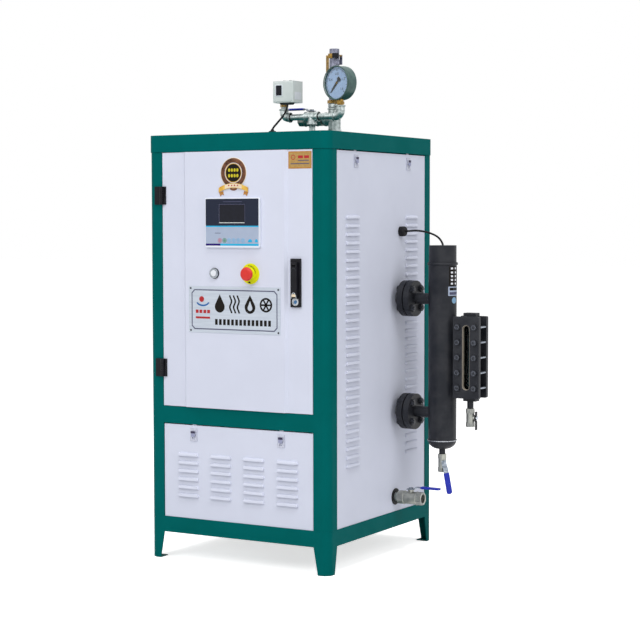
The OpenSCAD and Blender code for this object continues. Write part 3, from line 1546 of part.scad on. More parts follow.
module safety_lever() {
  w = safety_r - loose;
  end_x = -safety_pivot_dx - 6;
  arm_h = 50;
  slot = 2 * (safety_stem_r + 2);
  color(brass) translate([steam_x, steam_y, 0]) {
    difference() {
      translate([end_x, -w / 2, safety_pivot_z - safety_lever_t / 2])
        cube([safety_pivot_dx + 3 - end_x, w, safety_lever_t]);
      translate([-slot / 2, -slot / 2, safety_pivot_z - safety_lever_t])
        cube([slot, slot, 2 * safety_lever_t]);
    }
    translate([end_x, -w / 2, safety_pivot_z - arm_h]) cube([safety_lever_t / 2, w, arm_h]);
    translate([safety_pivot_dx, -w / 2 - 3, safety_pivot_z]) rod_y(w + 6, 2);
  }
}

// Leads and bushes

function unit(v) = v / norm(v);

function lead_points(ends, shares) =
  [for (s = shares) [for (k = [0 : 2]) ends[0][k] + (ends[1][k] - ends[0][k]) * s[k]]];

function lead_ring(p, i) =
  let (d = unit(p[min(i + 1, len(p) - 1)] - p[max(i - 1, 0)]),
    u = unit(cross(d, [0.2, 1, 0.1])),
    v = cross(d, u))
  [for (k = [0 : lead_sides - 1])
    p[i] + lead_r * (cos(360 * k / lead_sides) * u + sin(360 * k / lead_sides) * v)];

module lead(p) {
  n = lead_sides;
  last = len(p) - 1;
  polyhedron([for (i = [0 : last]) each lead_ring(p, i)],
    [[for (k = [0 : n - 1]) k],
      for (i = [0 : last - 1], k = [0 : n - 1])
        each [[i * n + k, (i + 1) * n + k, (i + 1) * n + (k + 1) % n],
          [i * n + k, (i + 1) * n + (k + 1) % n, i * n + (k + 1) % n]],
      [for (k = [0 : n - 1]) last * n + n - 1 - k]]);
}

module sensor_leads() {
  color(black) {
    lead(lead_points(probe_lead_ends, probe_lead_shares));
    lead(lead_points(control_lead_ends, control_lead_shares));
  }
}

module rubber_bushes() {
  taper = 3;
  color(black) {
    translate([panel_face_x, gland_y, gland_z]) rotate([0, 90, 0]) difference() {
      rotate_extrude() polygon([[0, 0], [gland_r, 0], [gland_r, gland_len - 2 * taper],
        [gland_r - taper, gland_len - 2], [0, gland_len - 2]]);
      translate([0, 0, -cut]) cylinder(h = gland_len + cut, r = lead_r + loose);
    }
    translate([grommet_x, grommet_y, cap_top]) difference() {
      rotate_extrude() polygon([[0, 0], [bush_r, 0], [bush_r, 3 * taper / 2], [bush_r - taper, 2 * taper],
        [bush_r - 2 * taper, bush_h], [0, bush_h]]);
      translate([0, 0, -cut]) cylinder(h = bush_h + 2 * cut, r = lead_r + loose);
    }
    translate([panel_face_x, blowdown_y, blowdown_z]) difference() {
      rod_x(taper, drain_bush_r);
      translate([-cut, 0, 0]) rod_x(taper + 2 * cut, steam_pipe_r + loose);
    }
  }
}

module place() { translate([-origin_x, -origin_y, 0]) children(); }

place() base_frame();
place() post_frame();
place() top_cap();
place() left_panel();
place() right_panel();
place() back_panel();
place() lower_front_panel();
place() catch_housings();
place() front_catch(-front_catch_x);  // front_catch_left
place() front_catch(front_catch_x);  // front_catch_right
place() side_catch(-side_catch_y);  // side_catch_front
place() side_catch(side_catch_y);  // side_catch_rear
place() door();
place() post_hinge_leaves();
place() door_hinge_leaves();
place() lock_plate();
place() lock_spindle();
place() lock_handle();
place() lock_barrel();
place() controller_unit();
place() lamp_bezel();
place() lamp_button();
place() stop_collar();
place() stop_plunger();
place() stop_head();
place() nameplate();
place() equipment_plate();
place() contactors();
place() boiler_vessel();
place() vessel_jacket();
place() heater_bundle();
place() water_tank();
place() feed_pump();
place() pump_rotor();
place() inner_pipes();
place() flange_bolts();
place() water_column();
place() column_cover();
place() level_probes();
place() sight_chamber();
place() sight_plates();
place() sight_glass();
place() sight_studs();
place() drain_valve_bodies();
place() main_valve_bodies();
place() column_drain_lever();
place() sight_drain_lever();
place() blowdown_lever();
place() steam_lever();
place() gauge_manifold();
place() pressure_controller();
place() gauge_case();
place() gauge_needle();
place() gauge_lens();
place() steam_riser();
place() safety_body();
place() safety_stem();
place() safety_lever();
place() sensor_leads();
place() rubber_bushes();
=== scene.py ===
"""Electric steam boiler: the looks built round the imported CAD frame.

Lengths are cabinet millimetres while a piece is being made: x and y from the middle of the cabinet's base,
z from the floor, +X the water column's side, -Y the door's side. settle() turns a finished piece to metres.
"""

import json
import math

import bmesh
import bpy
from mathutils import Matrix, Vector

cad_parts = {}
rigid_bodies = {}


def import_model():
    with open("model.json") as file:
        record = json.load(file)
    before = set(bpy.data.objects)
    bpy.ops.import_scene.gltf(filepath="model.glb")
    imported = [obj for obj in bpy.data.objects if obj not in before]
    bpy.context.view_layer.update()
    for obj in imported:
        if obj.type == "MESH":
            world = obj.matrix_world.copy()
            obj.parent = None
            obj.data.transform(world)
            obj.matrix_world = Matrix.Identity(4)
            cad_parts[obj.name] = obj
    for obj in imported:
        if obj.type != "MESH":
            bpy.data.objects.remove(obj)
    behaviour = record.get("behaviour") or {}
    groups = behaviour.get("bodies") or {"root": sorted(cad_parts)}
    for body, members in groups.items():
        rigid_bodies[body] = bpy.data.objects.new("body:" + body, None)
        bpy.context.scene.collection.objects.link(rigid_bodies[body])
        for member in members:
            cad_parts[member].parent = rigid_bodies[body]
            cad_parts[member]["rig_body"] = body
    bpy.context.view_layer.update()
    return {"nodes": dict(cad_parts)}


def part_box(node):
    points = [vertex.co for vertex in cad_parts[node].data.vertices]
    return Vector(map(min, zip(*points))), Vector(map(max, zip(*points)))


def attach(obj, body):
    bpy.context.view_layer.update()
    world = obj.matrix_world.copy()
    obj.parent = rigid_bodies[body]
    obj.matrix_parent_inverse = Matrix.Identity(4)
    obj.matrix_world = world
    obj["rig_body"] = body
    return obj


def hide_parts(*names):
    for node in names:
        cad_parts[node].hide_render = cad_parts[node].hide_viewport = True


bl_info = {
    "name": "Electric steam boiler",
    "version": (1, 0, 0),
    "blender": (4, 5, 0),
    "location": "3D View > Sidebar > Boiler",
    "description": "Dresses the packed steam boiler with its finishes, trim and small parts",
    "category": "Object",
}

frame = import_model()

BASE_LOW, BASE_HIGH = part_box("base_frame")
CABINET_MIDDLE = Vector(((BASE_LOW.x + BASE_HIGH.x) / 2, (BASE_LOW.y + BASE_HIGH.y) / 2, 0))
FROM_MM = Matrix.Translation(CABINET_MIDDLE) @ Matrix.Scale(0.001, 4)
TO_MM = FROM_MM.inverted()


def cad(node):
    """Lowest and highest corner of a CAD node in cabinet millimetres."""
    low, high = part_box(node)
    return TO_MM @ low, TO_MM @ high


def middle(node):
    low, high = cad(node)
    return (low + high) / 2


def shift(x, y, z=0):
    return Matrix.Translation((x, y, z))


def turn_about(axis, degrees):
    return Matrix.Rotation(math.radians(degrees), 4, axis)


def flat(x, y, z):
    """The place of a plate that lies on a face towards -Y: its own +X is +X, its own +Y is up."""
    return shift(x, y, z) @ turn_about("X", 90)


# Directions, and measures shared by several pieces: sheet, the CAD louvres' rise, and places of CAD nodes
FORWARD, BACK, LEFT, RIGHT, UP = (0, -1, 0), (0, 1, 0), (-1, 0, 0), (1, 0, 0), (0, 0, 1)
SHEET = 1.5
HOOD_RISE = 4.5
FRONT = cad("post_frame")[0].y
RAISED = cad("nameplate")[1].y
CAP_TOP = cad("top_cap")[1].z
COLUMN = middle("column_cover")
SIGHT = middle("sight_plates")
GAUGE = middle("gauge_lens")
PIPE_Y = middle("gauge_manifold").y
FLANGE_HEIGHTS = (433, 774)
BLOWDOWN = (360, COLUMN.y - 18, 172)
STEAM = (28, 60, 1316)
SAFETY_X, SAFETY_Y = 108, 60
GAUGE_TURN = -13.5
NEEDLE_TURN = 229


# Finishes


def linear(hex_colour):
    """sRGB hex to the linear colour that a shader takes."""
    parts = [int(hex_colour[i : i + 2], 16) / 255 for i in (0, 2, 4)]
    return [*(c / 12.92 if c <= 0.04045 else ((c + 0.055) / 1.055) ** 2.4 for c in parts), 1.0]


WHITE = (1, 1, 1, 1)
METAL = "Metallic"
GLOSS = "Specular IOR Level"

# Each finish: colour, second colour and how far it mottles, patch size in mm, roughness and its spread,
# grain size in mm and its height in mm, and the shader's own values.
FINISHES = {
    # polyester powder coat on sheet steel: satin, faint orange peel of about 2.5 mm, drawn 4 mm so it shows
    "green_powder_coat": ("00605f", "005653", 0.35, 90, 0.5, 0.1, 4, 0.03, {GLOSS: 0.02}),
    "white_powder_coat": ("d6daea", "cdd1e1", 0.35, 140, 0.5, 0.08, 4, 0.025, {GLOSS: 0.12}),
    # a brushed weld: dull and bright steel by turns along its ripples
    "welded_steel": ("b9bcc2", "6e7178", 1.0, 4, 0.35, 0.2, 1.2, 0.08, {METAL: 0.8}),
    # zinc electroplate, clear passivated: grey metal with a cold bloom and fine drawing marks
    "bright_zinc": ("a3abb6", "6c7480", 0.8, 6, 0.38, 0.16, 1.2, 0.06, {METAL: 0.85}),
    # the same plate on stamped catches: flatter and bluer, with a lilac bloom
    "catch_zinc": ("c1c4d2", "aeb1c1", 0.6, 6, 0.42, 0.12, 1.2, 0.04, {METAL: 0.3}),
    # malleable iron fittings, hot dipped: spangled, slightly lumpy grey
    "galvanised_iron": ("c9d1d1", "87918f", 1.0, 11, 0.36, 0.24, 4, 0.3, {METAL: 0.85}),
    # turned stainless steel: clean, ring marks from the tool
    "turned_stainless": ("a9afb6", "6f767f", 0.7, 6, 0.25, 0.1, 0.8, 0.02, {METAL: 1.0}),
    # investment cast stainless steel: dull, sandy skin of about 0.6 mm, drawn 1.2 mm
    "rough_stainless": ("a5a69e", "747778", 0.7, 22, 0.42, 0.15, 1.2, 0.12, {METAL: 0.85}),
    # chrome on die-cast zinc: a near mirror with a faint ripple
    "chrome_plate": ("c9cdd2", "8e959d", 0.5, 8, 0.12, 0.05, 6, 0.01, {METAL: 1.0}),
    # black zinc die casting with a stoved enamel: half gloss
    "black_enamel": ("131318", "1d1d23", 0.4, 20, 0.36, 0.1, 2, 0.03, {GLOSS: 0.15}),
    # black oxide on steel fasteners: oily, uneven, worn bright in places
    "black_oxide": ("17181c", "43464f", 0.8, 5, 0.36, 0.16, 1.5, 0.05, {METAL: 0.3, GLOSS: 0.3}),
    # grey phosphated steel of studs and nuts, here the rings on the sight glass's nuts: dull and mottled
    # lighter at random; each ring is a painted highlight where a nut's face catches the light
    "phosphated_steel": ("454850", "62666f", 0.8, 5, 0.42, 0.14, 1.2, 0.05, {METAL: 0.5, GLOSS: 0.3}),
    # sprayed slate enamel on pipe and plate: a little dusty, browner where it is thin
    "slate_enamel": ("212329", "35363a", 0.7, 45, 0.42, 0.12, 3, 0.06, {GLOSS: 0.16}),
    # dipped vinyl sleeve on a lever: soft sheen
    "blue_vinyl": ("1a2cae", "13228c", 0.5, 14, 0.36, 0.1, 2.5, 0.05, {GLOSS: 0.3}),
    # glass-filled nylon: matt black, slightly grainy
    "black_nylon": ("15161a", "222328", 0.4, 10, 0.5, 0.1, 0.8, 0.03, {GLOSS: 0.25}),
    # moulded ABS in several colours: even, with a fine spark texture
    "red_abs": ("d8352e", "c42a25", 0.4, 14, 0.36, 0.08, 1.2, 0.015, {GLOSS: 0.3}),
    "yellow_abs": ("e9ee14", "dbe10e", 0.4, 16, 0.44, 0.08, 1.2, 0.015, {GLOSS: 0.2}),
    "white_abs": ("e6eaf4", "dce1eb", 0.4, 40, 0.44, 0.08, 1.2, 0.015, {GLOSS: 0.2}),
    "grey_abs": ("d9dedd", "cdd4d3", 0.5, 30, 0.44, 0.1, 1.2, 0.02, {GLOSS: 0.2}),
    "dark_abs": ("2d3338", "23282c", 0.5, 12, 0.44, 0.1, 1.2, 0.02, {GLOSS: 0.2}),
    # frosted polycarbonate of the lamp button: milky under a clear coat
    "lamp_lens": ("e6e9f0", "d3d8e2", 0.4, 6, 0.22, 0.06, 2, 0.02, {"Coat Weight": 0.4}),
    # printed polyester film: flat, clean inks under a matt lacquer, the steel blue one metallised
    "navy_film": ("262b3b", "212636", 0.4, 30, 0.45, 0.06, 0.8, 0.012, {GLOSS: 0.1}),
    "cyan_film": ("2fb0dd", "2aa3d0", 0.4, 30, 0.45, 0.06, 0.8, 0.012, {GLOSS: 0.1}),
    "pale_film": ("a9b5cb", "9facc4", 0.5, 30, 0.45, 0.06, 0.8, 0.012, {GLOSS: 0.1}),
    "violet_film": ("2a1a6a", "241560", 0.4, 30, 0.45, 0.06, 0.8, 0.012, {GLOSS: 0.1}),
    "rose_film": ("b88a9a", "ab7c8e", 0.4, 6, 0.45, 0.06, 0.8, 0.012, {GLOSS: 0.1}),
    "sea_film": ("6a9a8a", "5e8e7e", 0.4, 6, 0.45, 0.06, 0.8, 0.012, {GLOSS: 0.1}),
    "sky_film": ("8db4d4", "82aacb", 0.4, 6, 0.45, 0.06, 0.8, 0.012, {GLOSS: 0.1}),
    "steel_blue_film": ("3d6f9e", "335f8a", 0.4, 6, 0.35, 0.06, 0.8, 0.012, {METAL: 0.3}),
    # the dark film over the panel catches' windows: painted shade where the open windows fall dark
    "catch_window_shade_film": ("403c54", "353147", 0.4, 6, 0.5, 0.06, 0.8, 0.012, {GLOSS: 0.1}),
    "lilac_film": ("9da1bd", "8e92b0", 0.4, 6, 0.45, 0.06, 0.8, 0.012, {GLOSS: 0.1}),
    # tinted acrylic over a dark display: smooth, almost black
    "screen_glass": ("15161f", "1d1f2b", 0.5, 18, 0.18, 0.04, 8, 0.01, {GLOSS: 0.2}),
    # brownish-grey paint inside the sight glass's slot: warm and chalky, and set lighter than its own colour as
    # painted light, since the slot's walls lie in shade
    "slot_brown_painted_light": ("b0a698", "948b7d", 0.7, 14, 0.5, 0.1, 1.2, 0.03, {GLOSS: 0.2}),
    # anodised aluminium sheet, satin rolled along its length
    "anodised_silver": ("c6ced9", "b3bcc9", 0.6, 6, 0.42, 0.1, 1.5, 0.02, {METAL: 0.15, GLOSS: 0.2}),
    # screen-printed inks: matt, slightly uneven in their cover
    "slate_ink": ("55566f", "484962", 0.4, 8, 0.5, 0.06, 1, 0.01, {GLOSS: 0.1}),
    "red_ink": ("b23438", "a02a2f", 0.4, 8, 0.5, 0.06, 1, 0.01, {GLOSS: 0.1}),
    "blue_ink": ("2b65a6", "245991", 0.4, 8, 0.5, 0.06, 1, 0.01, {GLOSS: 0.1}),
    "cream_print": ("ead9bd", "dcc8a6", 0.6, 8, 0.45, 0.08, 1, 0.012, {GLOSS: 0.15}),
    "olive_print": ("b8955a", "a5824a", 0.8, 6, 0.48, 0.1, 1.6, 0.03, {GLOSS: 0.15}),
    "black_print": ("120f0c", "1b1611", 0.4, 12, 0.5, 0.08, 1, 0.01, {GLOSS: 0.1}),
    "white_print": ("e8eaf0", "dadde6", 0.4, 12, 0.5, 0.08, 1, 0.01, {GLOSS: 0.1}),
    "dial_print": ("c3d2f0", "b8c8ea", 0.4, 30, 0.5, 0.05, 1, 0.008, {GLOSS: 0.1}),
    # foil-stamped and pressed tinplate of the emblem: warm, cloudy, half metallic
    "bronze_foil": ("2e150a", "7d5037", 1.0, 26, 0.36, 0.15, 2, 0.03, {METAL: 0.25, GLOSS: 0.3}),
    "gold_foil": ("c98f1c", "e9c766", 0.9, 16, 0.36, 0.12, 2, 0.03, {METAL: 0.25, GLOSS: 0.3}),
    "yellow_foil": ("cfc22a", "b3a51e", 0.6, 6, 0.4, 0.12, 2, 0.03, {METAL: 0.1, GLOSS: 0.2}),
    "dark_gold_foil": ("a8702f", "b98748", 0.8, 8, 0.42, 0.12, 1.6, 0.04, {METAL: 0.25, GLOSS: 0.3}),
    # machined brass: yellow, darker where it was handled
    "machined_brass": ("a88745", "6a5126", 0.9, 7, 0.3, 0.15, 1, 0.05, {METAL: 0.9}),
    # hammered enamel on the gauge's steel case
    "case_enamel": ("4f6863", "3d5052", 0.7, 16, 0.38, 0.12, 2, 0.04, {METAL: 0.2, GLOSS: 0.3}),
    # bare aluminium-bronze casting, lilac-grey
    "grey_casting": ("8a8c9f", "565869", 0.9, 9, 0.42, 0.16, 1.2, 0.1, {METAL: 0.5}),
    # moulded rubber of leads, bushes and gaskets: dull black
    "black_rubber": ("101012", "1b1b1f", 0.5, 9, 0.62, 0.1, 1, 0.04, {GLOSS: 0.2}),
    # grey primer, brushed on the vessel
    "red_grey_primer": ("7b7f86", "666a72", 0.7, 60, 0.55, 0.12, 5, 0.12, {}),
    # woven glass cloth with an aluminium face, over mineral wool; its 1.5 mm threads are drawn as 3 mm
    "foil_cloth": ("b6babf", "93989e", 0.8, 22, 0.35, 0.15, 3, 0.35, {METAL: 0.7}),
    # cold-rolled stainless sheet: streaks along its rolling
    "rolled_stainless": ("bfc4c8", "a6acb2", 0.6, 10, 0.3, 0.12, 1.5, 0.02, {METAL: 0.95}),
    # sprayed machine enamel on the pump: blue, slightly lumpy
    "pump_enamel": ("2f5088", "284573", 0.6, 30, 0.4, 0.12, 3, 0.12, {}),
    # yellow-passivated zinc on the equipment plate: rainbow-tinted straw
    "yellow_zinc": ("c2a45a", "b7b47c", 0.9, 45, 0.34, 0.12, 3, 0.02, {METAL: 0.85}),
}
# Rolled finishes, and the share that their pattern's scale keeps along the rolling
ROLLED = {"anodised_silver": 0.06, "rolled_stainless": 0.08}


def add(tree, kind, inputs=None, links=None, **settings):
    """Adds one node: settings are its own, inputs its socket values, links its sockets' sources."""
    made = tree.nodes.new(kind)
    for key, value in settings.items():
        setattr(made, key, value)
    for key, value in (inputs or {}).items():
        made.inputs[key].default_value = value
    for key, source in (links or {}).items():
        tree.links.new(source, made.inputs[key])
    return made


def empty_tree(owner):
    owner.use_nodes = True
    owner.node_tree.nodes.clear()
    return owner.node_tree


def finish(name):
    """The named finish as a material: mottled colour, uneven gloss and a fine relief in real millimetres."""
    made = bpy.data.materials.get(name)
    if made:
        return made
    colour, second, mottle, patch, rough, spread, grain, height, shader = FINISHES[name]
    made = bpy.data.materials.new(name)
    tree = empty_tree(made)
    place = add(tree, "ShaderNodeTexCoord").outputs["Object"]
    drawn = add(tree, "ShaderNodeMapping", {"Scale": (ROLLED.get(name, 1), 1, 1)},
                {"Vector": place}).outputs["Vector"]
    patches = add(tree, "ShaderNodeTexNoise", {"Scale": 1000 / patch, "Detail": 3.0, "Roughness": 0.55},
                  {"Vector": drawn}).outputs["Fac"]
    share = add(tree, "ShaderNodeMapRange", {"From Min": 0.35, "From Max": 0.65, "To Max": mottle},
                {"Value": patches}).outputs["Result"]
    mixed = add(tree, "ShaderNodeMix", {6: linear(colour), 7: linear(second)}, {"Factor": share},
                data_type="RGBA").outputs[2]
    gloss = add(tree, "ShaderNodeMapRange", {"From Min": 0.3, "From Max": 0.7, "To Min": rough - spread / 2,
                                             "To Max": rough + spread / 2},
                {"Value": patches}).outputs["Result"]
    grains = add(tree, "ShaderNodeTexNoise", {"Scale": 1000 / grain, "Detail": 2.0},
                 {"Vector": drawn}).outputs["Fac"]
    relief = add(tree, "ShaderNodeBump", {"Strength": 0.6, "Distance": height / 1000},
                 {"Height": grains}).outputs["Normal"]
    surface = add(tree, "ShaderNodeBsdfPrincipled", shader,
                  {"Base Color": mixed, "Roughness": gloss, "Normal": relief}).outputs["BSDF"]
    add(tree, "ShaderNodeOutputMaterial", None, {"Surface": surface})
    return made


def glaze(node, name, tint, rough):
    """Gives a CAD pane clear glass: light goes straight through, and it mirrors more at a low angle."""
    made = bpy.data.materials.new(name)
    tree = empty_tree(made)
    place = add(tree, "ShaderNodeTexCoord").outputs["Object"]
    waves = add(tree, "ShaderNodeTexNoise", {"Scale": 40, "Detail": 1.0}, {"Vector": place}).outputs["Fac"]
    polish = add(tree, "ShaderNodeMapRange", {"To Min": rough, "To Max": rough + 0.04},
                 {"Value": waves}).outputs["Result"]
    through = add(tree, "ShaderNodeBsdfTransparent", {"Color": linear(tint)}).outputs[0]
    mirror = add(tree, "ShaderNodeBsdfGlossy", {"Color": WHITE}, {"Roughness": polish}).outputs[0]
    angle = add(tree, "ShaderNodeFresnel", {"IOR": 1.45}).outputs[0]
    share = add(tree, "ShaderNodeMath", {1: 0.15}, {0: angle}, operation="MULTIPLY").outputs[0]
    pane = add(tree, "ShaderNodeMixShader", None, {0: share, 1: through, 2: mirror}).outputs[0]
    add(tree, "ShaderNodeOutputMaterial", None, {"Surface": pane})
    slot = frame["nodes"][node].material_slots[0]
    slot.link = "OBJECT"
    slot.material = made


# Workshop


def clear():
    if bpy.context.mode != "OBJECT":
        bpy.ops.object.mode_set(mode="OBJECT")
    bpy.ops.object.select_all(action="DESELECT")


def take(piece):
    clear()
    piece.select_set(True)
    bpy.context.view_layer.objects.active = piece
    return piece


def edit():
    """Opens the active piece for editing with everything selected."""
    bpy.ops.object.mode_set(mode="EDIT")
    bpy.ops.mesh.select_all(action="SELECT")


def close(facing=False):
    """Ends editing; facing turns every face outwards first."""
    if facing:
        bpy.ops.mesh.select_all(action="SELECT")
        bpy.ops.mesh.normals_make_consistent(inside=False)
    bpy.ops.object.mode_set(mode="OBJECT")


def fix():
    """Moves the active piece's place, turn and scale into its mesh."""
    bpy.ops.object.transform_apply(location=True, rotation=True, scale=True)
    return bpy.context.object


def modified(piece, kind, **settings):
    """Gives the active piece a modifier and applies it."""
    step = piece.modifiers.new(kind.lower(), kind)
    for key, value in settings.items():
        setattr(step, key, value)
    bpy.ops.object.modifier_apply(modifier=step.name)


def linked(name, data):
    piece = bpy.data.objects.new(name, data)
    bpy.context.scene.collection.objects.link(piece)
    return piece


def pick(piece, wanted, kind="FACE"):
    """In edit mode, selects the faces, edges or points whose middle and direction pass the test."""
    bpy.ops.mesh.select_mode(type=kind)
    bpy.ops.mesh.select_all(action="DESELECT")
    shape = bmesh.from_edit_mesh(piece.data)
    if kind == "FACE":
        for f in shape.faces:
            f.select_set(bool(wanted(f.calc_center_median(), f.normal)))
    elif kind == "EDGE":
        for e in shape.edges:
            a, b = e.verts
            e.select_set(bool(wanted((a.co + b.co) / 2, b.co - a.co)))
    else:
        for v in shape.verts:
            v.select_set(bool(wanted(v.co, v.normal)))
    shape.select_flush_mode()
    bmesh.update_edit_mesh(piece.data)


def eased(piece, width, segments=2, angle=35):
    """Rounds every sharp edge by the width and shades the piece smooth between the edges left."""
    take(piece)
    if width:
        modified(piece, "BEVEL", width=width, segments=segments, limit_method="ANGLE",
                 angle_limit=math.radians(angle))
    bpy.ops.object.shade_smooth_by_angle(angle=math.radians(40))
    modified(piece, "WEIGHTED_NORMAL", keep_sharp=True)
    return piece


def painted(piece, look):
    """Gives a shape its finish; without one it stays bare until it is joined or settled."""
    if look:
        piece.data.materials.clear()
        piece.data.materials.append(finish(look))
    return piece


def joined(name, shapes):
    """Several shapes made one piece, each keeping its own finish."""
    take(shapes[0])
    for other in shapes[1:]:
        other.select_set(True)
    if len(shapes) > 1:
        bpy.ops.object.join()
    piece = bpy.context.object
    piece.name = piece.data.name = name
    return piece


def settle(name, shapes, body, stands_for=()):
    """Joins the shapes to one piece in metres at the origin, and gives it its body."""
    piece = take(joined(name, shapes))
    piece.matrix_world = FROM_MM @ piece.matrix_world
    fix()
    if stands_for:
        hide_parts(*stands_for)
    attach(piece, body)
    return piece


def dressed(node, look, width=0.8, segments=2, angle=35):
    """A copy of a CAD node, merged and cleaned, with the rounded edges that the real part has."""
    source = frame["nodes"][node]
    piece = take(linked(node + "_dressed", source.data.copy()))
    piece.data.transform(TO_MM)
    edit()
    bpy.ops.mesh.remove_doubles(threshold=0.004)
    bpy.ops.mesh.dissolve_limited(angle_limit=math.radians(0.7))
    close()
    eased(piece, width, segments, angle)
    return settle(piece.name, [painted(piece, look)], source["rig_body"], (node,))


def repainted(piece, wanted, look):
    """Gives the faces whose middle, in cabinet millimetres, passes the test a second finish."""
    piece.data.materials.append(finish(look))
    last = len(piece.data.materials) - 1
    for face in piece.data.polygons:
        if wanted(TO_MM @ face.center):
            face.material_index = last


def cube(low, high):
    low, high = Vector(low), Vector(high)
    clear()
    bpy.ops.mesh.primitive_cube_add(size=1, location=(low + high) / 2, scale=high - low)
    return fix()


def block(low, high, look=None, width=1.0, segments=2):
    """A rectangular shape from corner to corner, with its edges rounded."""
    return painted(eased(cube(low, high), width, segments), look)


def turned(steps, look=None, at=(0, 0, 0), along=UP, sides=40, width=0.0, segments=2, ring=False):
    """A lathe shape: a disc of the first radius is pulled along and scaled to each (distance, radius) in turn.

    A ring starts from a bare circle and comes back to it, so it stays open along its middle."""
    clear()
    first_h, first_r = steps[0]
    fill = "NOTHING" if ring else "NGON"
    bpy.ops.mesh.primitive_circle_add(vertices=sides, radius=first_r, fill_type=fill, location=(0, 0, 0))
    if ring:
        steps = [*steps, steps[0]]
    piece = bpy.context.object
    edit()
    h, r = first_h, first_r
    for next_h, next_r in steps[1:]:
        bpy.ops.mesh.extrude_region_move(TRANSFORM_OT_translate={"value": (0, 0, next_h - h)})
        if next_r != r:
            ratio = max(next_r, 0.01) / r
            bpy.ops.transform.resize(value=(ratio, ratio, 1), center_override=(0, 0, next_h - first_h))
        h, r = next_h, max(next_r, 0.01)
    if ring:
        bpy.ops.mesh.select_all(action="SELECT")
        bpy.ops.mesh.remove_doubles(threshold=0.001)
    close(facing=True)
    turn = Vector(UP).rotation_difference(Vector(along)).to_matrix().to_4x4()
    piece.matrix_world = Matrix.Translation(Vector(at)) @ turn @ shift(0, 0, first_h)
    fix()
    return painted(eased(piece, width, segments), look)


def hexagon(across, height, at, look, width=0.6, along=UP):
    """A nut or union: six flats with their corners rounded."""
    r = across / math.sqrt(3)
    return turned([(0, r), (height, r)], look, at, along, 6, width)


def cut_plate(outlines, thickness, place, look=None, width=0.0):
    """A flat plate cut to the outlines, the later ones being holes, standing up from z = 0 of its place."""
    line = bpy.data.curves.new("outline", "CURVE")
    line.dimensions = "2D"
    line.fill_mode = "BOTH"
    line.extrude = thickness / 2
    for outline in outlines:
        run = line.splines.new("POLY")
        run.points.add(len(outline) - 1)
        for point, (x, y) in zip(run.points, outline):
            point.co = (x, y, 0, 1)
        run.use_cyclic_u = True
    take(linked("plate", line))
    bpy.ops.object.convert(target="MESH")
    piece = bpy.context.object
    piece.matrix_world = place @ shift(0, 0, thickness / 2)
    fix()
    edit()
    bpy.ops.mesh.remove_doubles(threshold=0.001)
    close(facing=True)
    return painted(eased(piece, width, 1), look)


def repeated(piece, places):
    """Copies of a shape, each with its own mesh, moved by the matrices; the shape itself goes."""
    made = []
    for place in places:
        copy = linked("copy", piece.data.copy())
        copy.data.transform(place)
        made.append(copy)
    bpy.data.objects.remove(piece)
    return made


def tube(points, radius, sides=8):
    """A smooth lead through its points."""
    line = bpy.data.curves.new("lead", "CURVE")
    line.dimensions = "3D"
    line.bevel_depth = radius
    line.bevel_resolution = sides // 2
    line.use_fill_caps = True
    line.resolution_u = 6
    run = line.splines.new("BEZIER")
    run.bezier_points.add(len(points) - 1)
    for knot, point in zip(run.bezier_points, points):
        knot.co = point
        knot.handle_left_type = knot.handle_right_type = "AUTO"
    take(linked("lead", line))
    bpy.ops.object.convert(target="MESH")
    bpy.ops.object.shade_smooth()
    return bpy.context.object


# Outlines


def bow(rx, ry, start, end, steps):
    """Points along an ellipse about the origin, from one angle to the other in degrees."""
    turns = [math.radians(start + (end - start) * i / steps) for i in range(steps + 1)]
    return [(rx * math.cos(a), ry * math.sin(a)) for a in turns]


def rounded_outline(w, h, r, steps=5):
    """A rectangle with rounded corners, about its middle."""
    points = []
    for cx, cy, start in ((1, 1, 0), (-1, 1, 90), (-1, -1, 180), (1, -1, 270)):
        corner = bow(r, r, start, start + 90, steps)
        points += [(cx * (w / 2 - r) + x, cy * (h / 2 - r) + y) for x, y in corner]
    return points


def cut_corner_outline(w, h, c):
    return [(w / 2 - c, -h / 2), (w / 2, -h / 2 + c), (w / 2, h / 2 - c), (w / 2 - c, h / 2),
            (-w / 2 + c, h / 2), (-w / 2, h / 2 - c), (-w / 2, -h / 2 + c), (-w / 2 + c, -h / 2)]


def ring_outline(r, steps=48, squash=1.0):
    turns = [2 * math.pi * i / steps for i in range(steps)]
    return [(r * math.cos(a), squash * r * math.sin(a)) for a in turns]


def arc_band(r, squash_r, start, end, thick):
    """A bow of even thickness, from one angle to the other in degrees."""
    return bow(r, squash_r, start, end, 20) + bow(r - thick, squash_r - thick, start, end, 20)[::-1]


def square(x, y, half):
    return [(x + half * dx, y + half * dy) for dx, dy in ((-1, -1), (1, -1), (1, 1), (-1, 1))]


def drop_outline(r, tall, low=-8):
    """A drop: a circle drawn out to a tip."""
    lean = math.degrees(math.acos(r / (tall - low)))
    turns = [math.radians(90 + lean + (360 - 2 * lean) * i / 28) for i in range(29)]
    return [(r * math.cos(a), low + r * math.sin(a)) for a in turns] + [(0, tall)]


def steam_outlines(tall):
    """Three rising wavy bands."""
    made = []
    for x in (-13, 0, 13):
        levels = [tall * (i / 20 - 0.5) for i in range(21)]
        left = [(x - 2.8 + 3 * math.sin(z / 5.5), z) for z in levels]
        made.append(left + [(px + 5.6, pz) for px, pz in reversed(left)])
    return made


def ribbon_outline(half, inset, tall):
    """A band that sags towards both ends."""
    span = [half * (i / 10 - 1) for i in range(21)]
    top = [(p, 13 * (1 - (p / 50) ** 2) - inset) for p in span]
    return top + [(p, q - tall) for p, q in reversed(top)]


# Sizes and colours a user would change


def size(name, description, default, low, high):
    return bpy.props.FloatProperty(name=name, description=description + " in millimetres", default=default,
                                   min=low, max=high)


def power(name, description, default):
    return bpy.props.FloatProperty(name=name, description="Power of the lamp " + description, default=default,
                                   unit="POWER")


